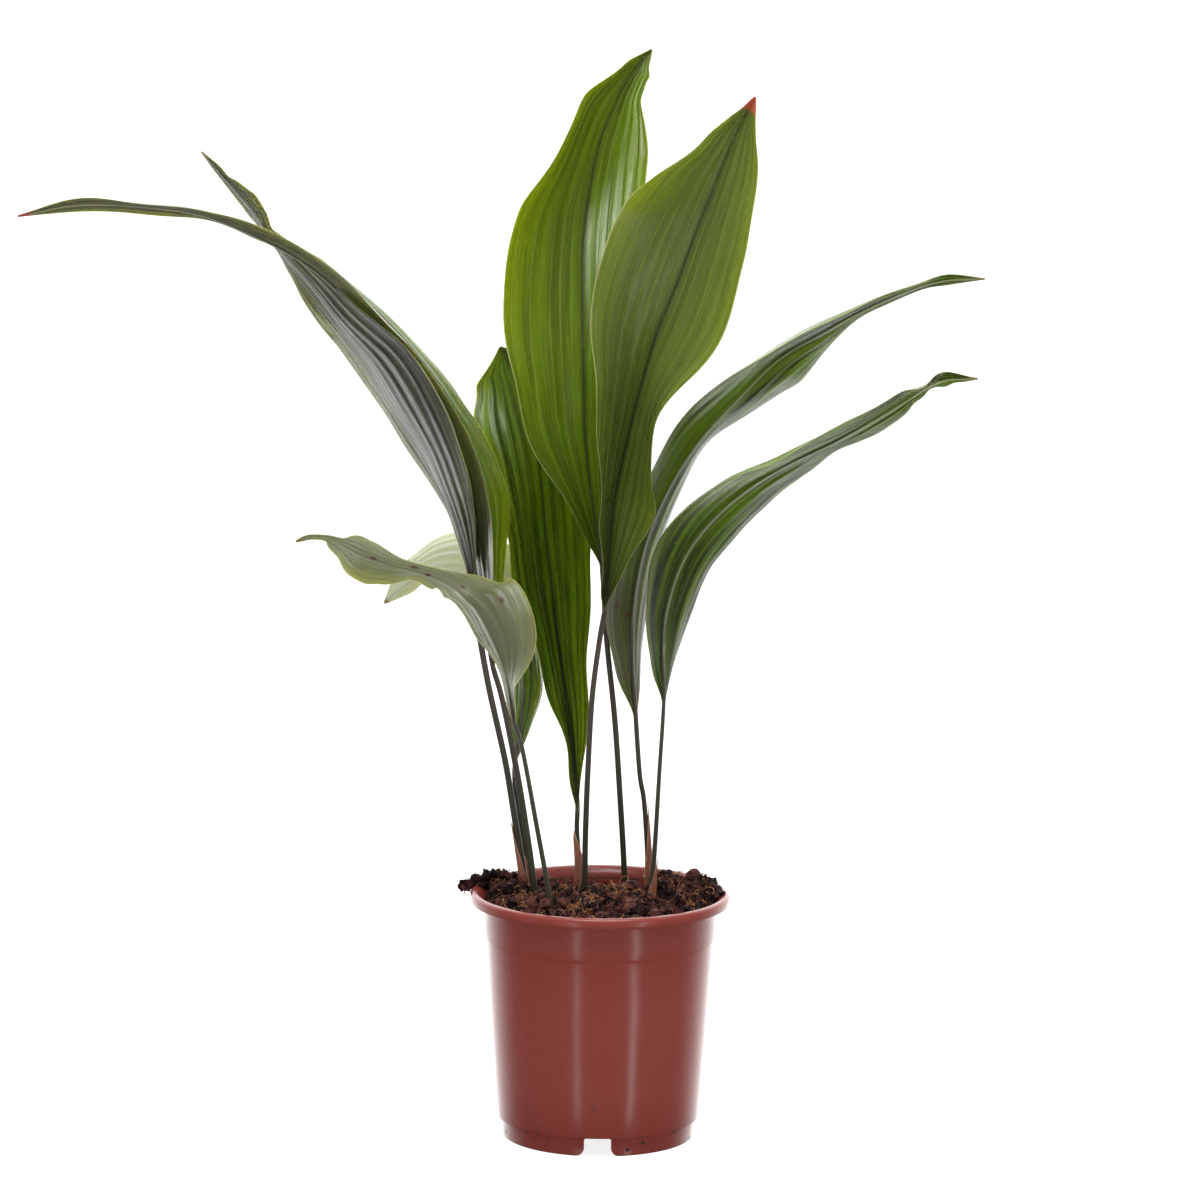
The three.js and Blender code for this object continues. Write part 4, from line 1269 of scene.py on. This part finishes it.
TISSUE = tissue_group()
GREEN = {
    "Upper Dark": (0.019, 0.036, 0.006, 1), "Upper Light": (0.088, 0.168, 0.006, 1),
    "Lower Dark": (0.030, 0.040, 0.022, 1), "Lower Light": (0.12, 0.14, 0.080, 1),
    "Vein": (0.26, 0.36, 0.06, 1), "Margin": (0.34, 0.35, 0.17, 1), "Tip": (0.30, 0.22, 0.10, 1),
    "Midrib": (0.03, 0.026, 0.022, 1), "Keel": (0.34, 0.34, 0.25, 1),
}
RED_TIP = {"Tip": (0.42, 0.07, 0.06, 1)}
RICH_BELOW = {
    "Lower Dark": (0.014, 0.023, 0.005, 1), "Lower Light": (0.095, 0.165, 0.005, 1), "Vein Strength": 0.10,
    "Contrast": 1.1, "Specular": 0.35,
}
# The grey lower sides of left_arching and left_outer are partly the blades' own colour and partly painted
# light: painted shade in their dark grey, and painted sheen in their grey cast.
LOOKS = {
    "left_arching": RED_TIP | {
        "Lower Dark": (0.036, 0.035, 0.032, 1), "Lower Light": (0.13, 0.125, 0.11, 1), "Specular": 0.5,
        "Upper Light": (0.060, 0.115, 0.004, 1),
    },
    "left_outer": {
        "Lower Dark": (0.022, 0.021, 0.019, 1), "Lower Light": (0.10, 0.098, 0.084, 1), "Specular": 0.7,
        "Contrast": 0.9,
    },
    "left_drooping": {
        "Lower Dark": (0.10, 0.11, 0.055, 1), "Lower Light": (0.25, 0.26, 0.17, 1), "Specular": 0.5,
        "Contrast": 0.4, "Veins": 6.0, "Margin": (0.42, 0.40, 0.12, 1), "Vein Strength": 0.45,
    },
    "left_rear": {"Pale From": 0.34, "Pale To": 0.48, "Margin": (0.45, 0.36, 0.06, 1)},
    "centre_rear": {"Vein Strength": 0.3, "Tip Start": 2.0, "Specular": 0.45, "Contrast": 1.0},
    "centre_tall": {
        "Vein Strength": 0.34, "Tip Start": 2.0, "Specular": 0.6, "Upper Dark": (0.030, 0.054, 0.004, 1),
        "Upper Light": (0.120, 0.200, 0.004, 1), "Contrast": 0.5,
    },
    "centre_front": RED_TIP | {
        "Upper Dark": (0.066, 0.094, 0.028, 1), "Upper Light": (0.125, 0.180, 0.036, 1), "Contrast": 0.35,
        "Vein Strength": 0.42, "Veins": 9.0, "Specular": 0.5, "Tip Start": 0.975,
    },
    # The grey-brown foot of right_upper is partly its own colour and partly painted shade.
    "right_upper": RICH_BELOW | {"Foot": (0.085, 0.070, 0.048, 1), "Foot End": 0.4},
    "right_lower": RICH_BELOW,
}


LEAF_GLOW = {
    "Subsurface Weight": 0.55, "Subsurface Radius": (0.95, 1.0, 0.2), "Subsurface Scale": 0.0016,
}


def leaf_material(name, seed):
    material, tree, shader = new_material("blade_" + name)
    tissue = node_in(tree, "ShaderNodeGroup", node_tree=TISSUE)
    look = GREEN | LOOKS[name]
    preset(shader, LEAF_GLOW | {"Specular IOR Level": look.pop("Specular", 0.5)})
    preset(tissue, look | {"Seed": seed})
    join(
        tree,
        (tissue.outputs["Color"], shader.inputs["Base Color"]),
        (tissue.outputs["Roughness"], shader.inputs["Roughness"]),
    )
    bumped(tree, shader, tissue.outputs["Height"], 0.00025, 0.9)
    return material


leaf_pieces = {}
for number, name in enumerate(BLADES):
    blade = blade_solid(name, number * 3.7 + 1)
    blade.data.materials.append(leaf_material(name, number * 11.0))
    leaf_pieces[name] = blade
    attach(blade, "root")
    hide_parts("blade_" + name)

# Seven soft lights that reach only some blades, for the white sheen along their curved halves. Each is its
# azimuth, height, distance, width, length, watts, the height that it looks at, and its blades.
SHEENS = [
    ("sheen_tall", -66, 960, 1.7, 0.8, 0.9, 26, 540, ["centre_tall"]),
    ("sheen_front", 82, 370, 1.7, 0.35, 0.9, 11, 490, ["centre_front"]),
    ("sheen_low_left", -118, -750, 1.5, 0.25, 0.8, 7, 430, ["left_outer"]),
    ("sheen_arching", -125, 0, 1.5, 0.5, 0.8, 10, 430, ["left_arching"]),
    ("sheen_drooping", -105, -1350, 1.3, 0.9, 0.9, 13, 330, ["left_drooping", "left_rear"]),
    ("sheen_right_upper", 138, -850, 1.3, 0.3, 0.4, 4, 400, ["right_upper"]),
    ("sheen_right_lower", 140, -1250, 1.2, 0.35, 0.4, 5, 410, ["right_lower"]),
]
for name, azimuth, height, distance, width, tall, watts, aim, names in SHEENS:
    sheen = soft_light(name, azimuth, height, distance, width, tall, watts, aim)
    reached = bpy.data.collections.new(name)
    for blade in names:
        reached.objects.link(leaf_pieces[blade])
    sheen.light_linking.receiver_collection = reached


# Stalks: one slender stiff leaf stalk under each blade, green and round with a shallow channel. It widens
# towards the soil, where it grows from the hidden root, and runs out along the blade as its keel.

STALK_SIDES = 18
STALK_RINGS = 110
STALK_ROOT = 112.0
KEEL_STATIONS = 2
KEEL_RADII = (1.0, 0.62, 0.3)
KEEL_SHIFT = 0.45
STALK_CHANNEL = 0.2
STALK_LEAST_RADIUS = 0.22
STALK_OLIVE = (0.076, 0.058, 0.046, 1)
STALK_GREEN = (0.042, 0.042, 0.022, 1)
STALK_PALE = (0.15, 0.15, 0.10, 1)


def stalk_line(name):
    """The stalk's course with its radius: up from under the soil, and on along the blade's underside."""
    top_radius, soil_radius, points = STALKS[name]
    line = [(*points[-1][:2], STALK_ROOT, soil_radius)]
    for i, point in enumerate(reversed(points)):
        share = i / len(points)
        line.append((*point, soil_radius + (top_radius - soil_radius) * share))
    stations = [s[:3] for s in BLADES[name][:KEEL_STATIONS + 1]]
    for i, station in enumerate(stations):
        line.append((*station, KEEL_RADII[i] * top_radius))
    return line


def stalk_solid(name):
    line = stalk_line(name)
    places, run = even_places(line, STALK_RINGS)
    values = smooth_line(line, places)
    along, front, side = directions(line, places)
    station_ends = len(line) - KEEL_STATIONS - 1
    into_blade = ease(places * (len(line) - 1), station_ends - 0.6, station_ends + 0.4)
    behind = 1 if name in LOWER_SIDE_SEEN else -1
    turns = np.linspace(0, 2 * math.pi, STALK_SIDES, endpoint=False)
    points = []
    for i in range(STALK_RINGS):
        radius = max(STALK_LEAST_RADIUS, values[i, 3])
        shift = behind * KEEL_SHIFT * radius * into_blade[i]
        for turn in turns:
            away = math.cos(turn) * -behind
            channel = 1 - STALK_CHANNEL * max(0.0, away) ** 6
            out = side[i] * math.sin(turn) + front[i] * math.cos(turn)
            points.append(from_pot(*(values[i, :3] + out * radius * channel + front[i] * shift)))
    faces = [tuple(range(STALK_SIDES - 1, -1, -1))]
    for i in range(STALK_RINGS - 1):
        for j in range(STALK_SIDES):
            a, b = i * STALK_SIDES + j, i * STALK_SIDES + (j + 1) % STALK_SIDES
            faces.append((a, b, b + STALK_SIDES, a + STALK_SIDES))
    last = (STALK_RINGS - 1) * STALK_SIDES
    faces.append(tuple(range(last, last + STALK_SIDES)))
    stalk = mesh_object("leaf_stalk_" + name, points, faces)
    carry(stalk, "run", np.repeat(run * MM, STALK_SIDES))
    carry(stalk, "turn_x", np.tile(np.cos(turns), STALK_RINGS))
    carry(stalk, "turn_y", np.tile(np.sin(turns), STALK_RINGS))
    return stalk


def stalk_skin():
    material, tree, shader = new_material("stalk_skin")
    place = node_in(tree, "ShaderNodeTexCoord").outputs["Object"]
    height = node_in(tree, "ShaderNodeSeparateXYZ")
    tree.links.new(place, height.inputs["Vector"])
    run = reading(tree, "run")
    grain_at = stretched(
        tree,
        times(tree, reading(tree, "turn_x"), 4.0),
        times(tree, reading(tree, "turn_y"), 4.0),
        times(tree, run, 22.0),
    )
    grain = clouds(tree, grain_at, 1.0, 3.0, 0.6)
    upward = step_up(tree, height.outputs["Z"], 0.17, 0.27)
    colour = blend_colour(tree, upward, STALK_GREEN, STALK_OLIVE)
    pale = step_up(tree, grain, 0.56, 0.74)
    colour = blend_colour(tree, times(tree, pale, 0.5), colour, STALK_PALE)
    scuffs = specks(tree, place, 420.0, 0.3, 0.25)
    colour = blend_colour(tree, times(tree, scuffs, 0.5), colour, DRIED_SOIL_AND_SHADE)
    tree.links.new(colour, shader.inputs["Base Color"])
    tree.links.new(maths(tree, "MULTIPLY_ADD", grain, 0.3, 0.25), shader.inputs["Roughness"])
    bumped(tree, shader, grain, 0.00025, 0.7)
    return material


skin = stalk_skin()
for name in STALKS:
    stalk = stalk_solid(name)
    stalk.data.materials.append(skin)
    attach(stalk, "root")
    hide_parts("stalk_" + name)


# Sheaths: dry papery scales that wrap the foot of five stalks, rolled round them with an overlap and torn
# off at a slant. They are pink-brown, with fine fibres up their length and a paler torn edge.

SHEATH_ROWS = 34
SHEATH_COLUMNS = 54
SHEATH_THICKNESS = 0.28
SHEATH_WRAP = 1.22
SHEATH_IN_SOIL = 8.0
SHEATH_GAP = 0.45
SHEATH_OVERLAP = 0.35
SHEATH_FOOT_FLARE = 1.2
SHEATH_MOUTH_FLARE = 0.35
SHEATH_TORN = 2.2
SHEATH_SLANT_ENDS = 2.6
SHEATH_CRUMPLE = 0.2
SHEATH_RIBS = 15
SHEATH_RIB_HEIGHT = 0.07
SHEATH_PINK = (0.58, 0.22, 0.13, 1)
SHEATH_BROWN = (0.15, 0.050, 0.032, 1)
SHEATH_PALE = (0.66, 0.42, 0.25, 1)

# A sheath is the height of its tip, how far its mouth slants down from there, and which way its tip lies:
# 0 is towards the viewer, and 90 to the right.
SHEATHS = {
    "left_outer": (183, 40, -100),
    "left_rear": (164, 20, -60),
    "centre_rear": (169, 22, -50),
    "right_upper": (189, 44, 95),
    "right_lower": (165, 26, 85),
}


def sheath_solid(name, seed):
    tip, slant, tip_way = SHEATHS[name]
    tip_way = math.radians(tip_way)
    line = stalk_line(name)
    dense = np.linspace(0, 1, 900)
    course = smooth_line(line, dense)
    walls = ([], [])
    heights, turns_seen = [], []
    for i in range(SHEATH_ROWS + 1):
        up = i / SHEATH_ROWS
        for j in range(SHEATH_COLUMNS + 1):
            share = j / SHEATH_COLUMNS
            from_tip = 2 * math.pi * SHEATH_WRAP * (share - 0.5)
            turn = tip_way + from_tip
            torn = SHEATH_TORN * noise.noise(Vector((from_tip * 2.2, seed, 0.5)))
            slope = min(1.0, abs(from_tip) / SHEATH_SLANT_ENDS)
            top = tip - slant * slope ** 1.25 + torn * slope
            z = SOIL_LEVEL - SHEATH_IN_SOIL + (top - SOIL_LEVEL + SHEATH_IN_SOIL) * up
            t = np.interp(z, course[:, 2], dense)
            centre = smooth_line(line, [t])[0, :3]
            along, front, side = directions(line, np.array([t]))
            stalk_radius = np.interp(z, course[:, 2], course[:, 3])
            loose = SHEATH_GAP + SHEATH_OVERLAP * share
            loose += SHEATH_FOOT_FLARE * (1 - up) ** 1.2 + SHEATH_MOUTH_FLARE * up ** 6 * slope
            crumple = SHEATH_CRUMPLE * noise.noise(Vector((turn * 2.2, z / 9, seed)))
            fibres = SHEATH_RIB_HEIGHT * math.sin(turn * SHEATH_RIBS)
            radius = stalk_radius + loose + crumple + fibres
            out = side[0] * math.sin(turn) + front[0] * math.cos(turn)
            walls[0].append(from_pot(*(centre + out * (radius + SHEATH_THICKNESS / 2))))
            walls[1].append(from_pot(*(centre + out * (radius - SHEATH_THICKNESS / 2))))
            heights.append(up)
            turns_seen.append(turn)
    faces = two_walls(SHEATH_ROWS + 1, SHEATH_COLUMNS + 1)
    sheath = mesh_object("leaf_sheath_" + name, walls[0] + walls[1], faces)
    carry(sheath, "up", heights * 2)
    carry(sheath, "turn", turns_seen * 2)
    return sheath


def sheath_paper():
    material, tree, shader = new_material("sheath_paper")
    up, turn = reading(tree, "up"), reading(tree, "turn")
    fibre_at = stretched(tree, times(tree, turn, 7.0), times(tree, up, 1.6), 3.0)
    fibre = clouds(tree, fibre_at, 1.0, 3.0, 0.6)
    patch_at = stretched(tree, times(tree, turn, 0.9), times(tree, up, 3.0), 7.0)
    patch = clouds(tree, patch_at, 1.0, 2.0, 0.5)
    tone = maths(tree, "MULTIPLY_ADD", patch, 0.6, maths(tree, "MULTIPLY_ADD", fibre, 1.3, -0.45), clamp=True)
    colour = blend_colour(tree, tone, SHEATH_BROWN, SHEATH_PINK)
    edge = step_up(tree, maths(tree, "MULTIPLY_ADD", fibre, 0.08, up), 0.96, 1.03)
    colour = blend_colour(tree, edge, colour, SHEATH_PALE)
    low = step_down(tree, maths(tree, "MULTIPLY_ADD", patch, 0.2, up), 0.2, 0.5)
    colour = blend_colour(tree, times(tree, low, 0.6), colour, DRIED_SOIL_AND_SHADE)
    tree.links.new(colour, shader.inputs["Base Color"])
    preset(shader, {
        "Roughness": 0.62, "Subsurface Weight": 0.25, "Subsurface Radius": (1.0, 0.5, 0.3),
        "Subsurface Scale": 0.001,
    })
    bumped(tree, shader, fibre, 0.0003, 0.8)
    return material


paper = sheath_paper()
for number, name in enumerate(SHEATHS):
    sheath = sheath_solid(name, number * 1.9 + 0.6)
    sheath.data.materials.append(paper)
    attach(sheath, "root")
    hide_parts("sheath_" + name)
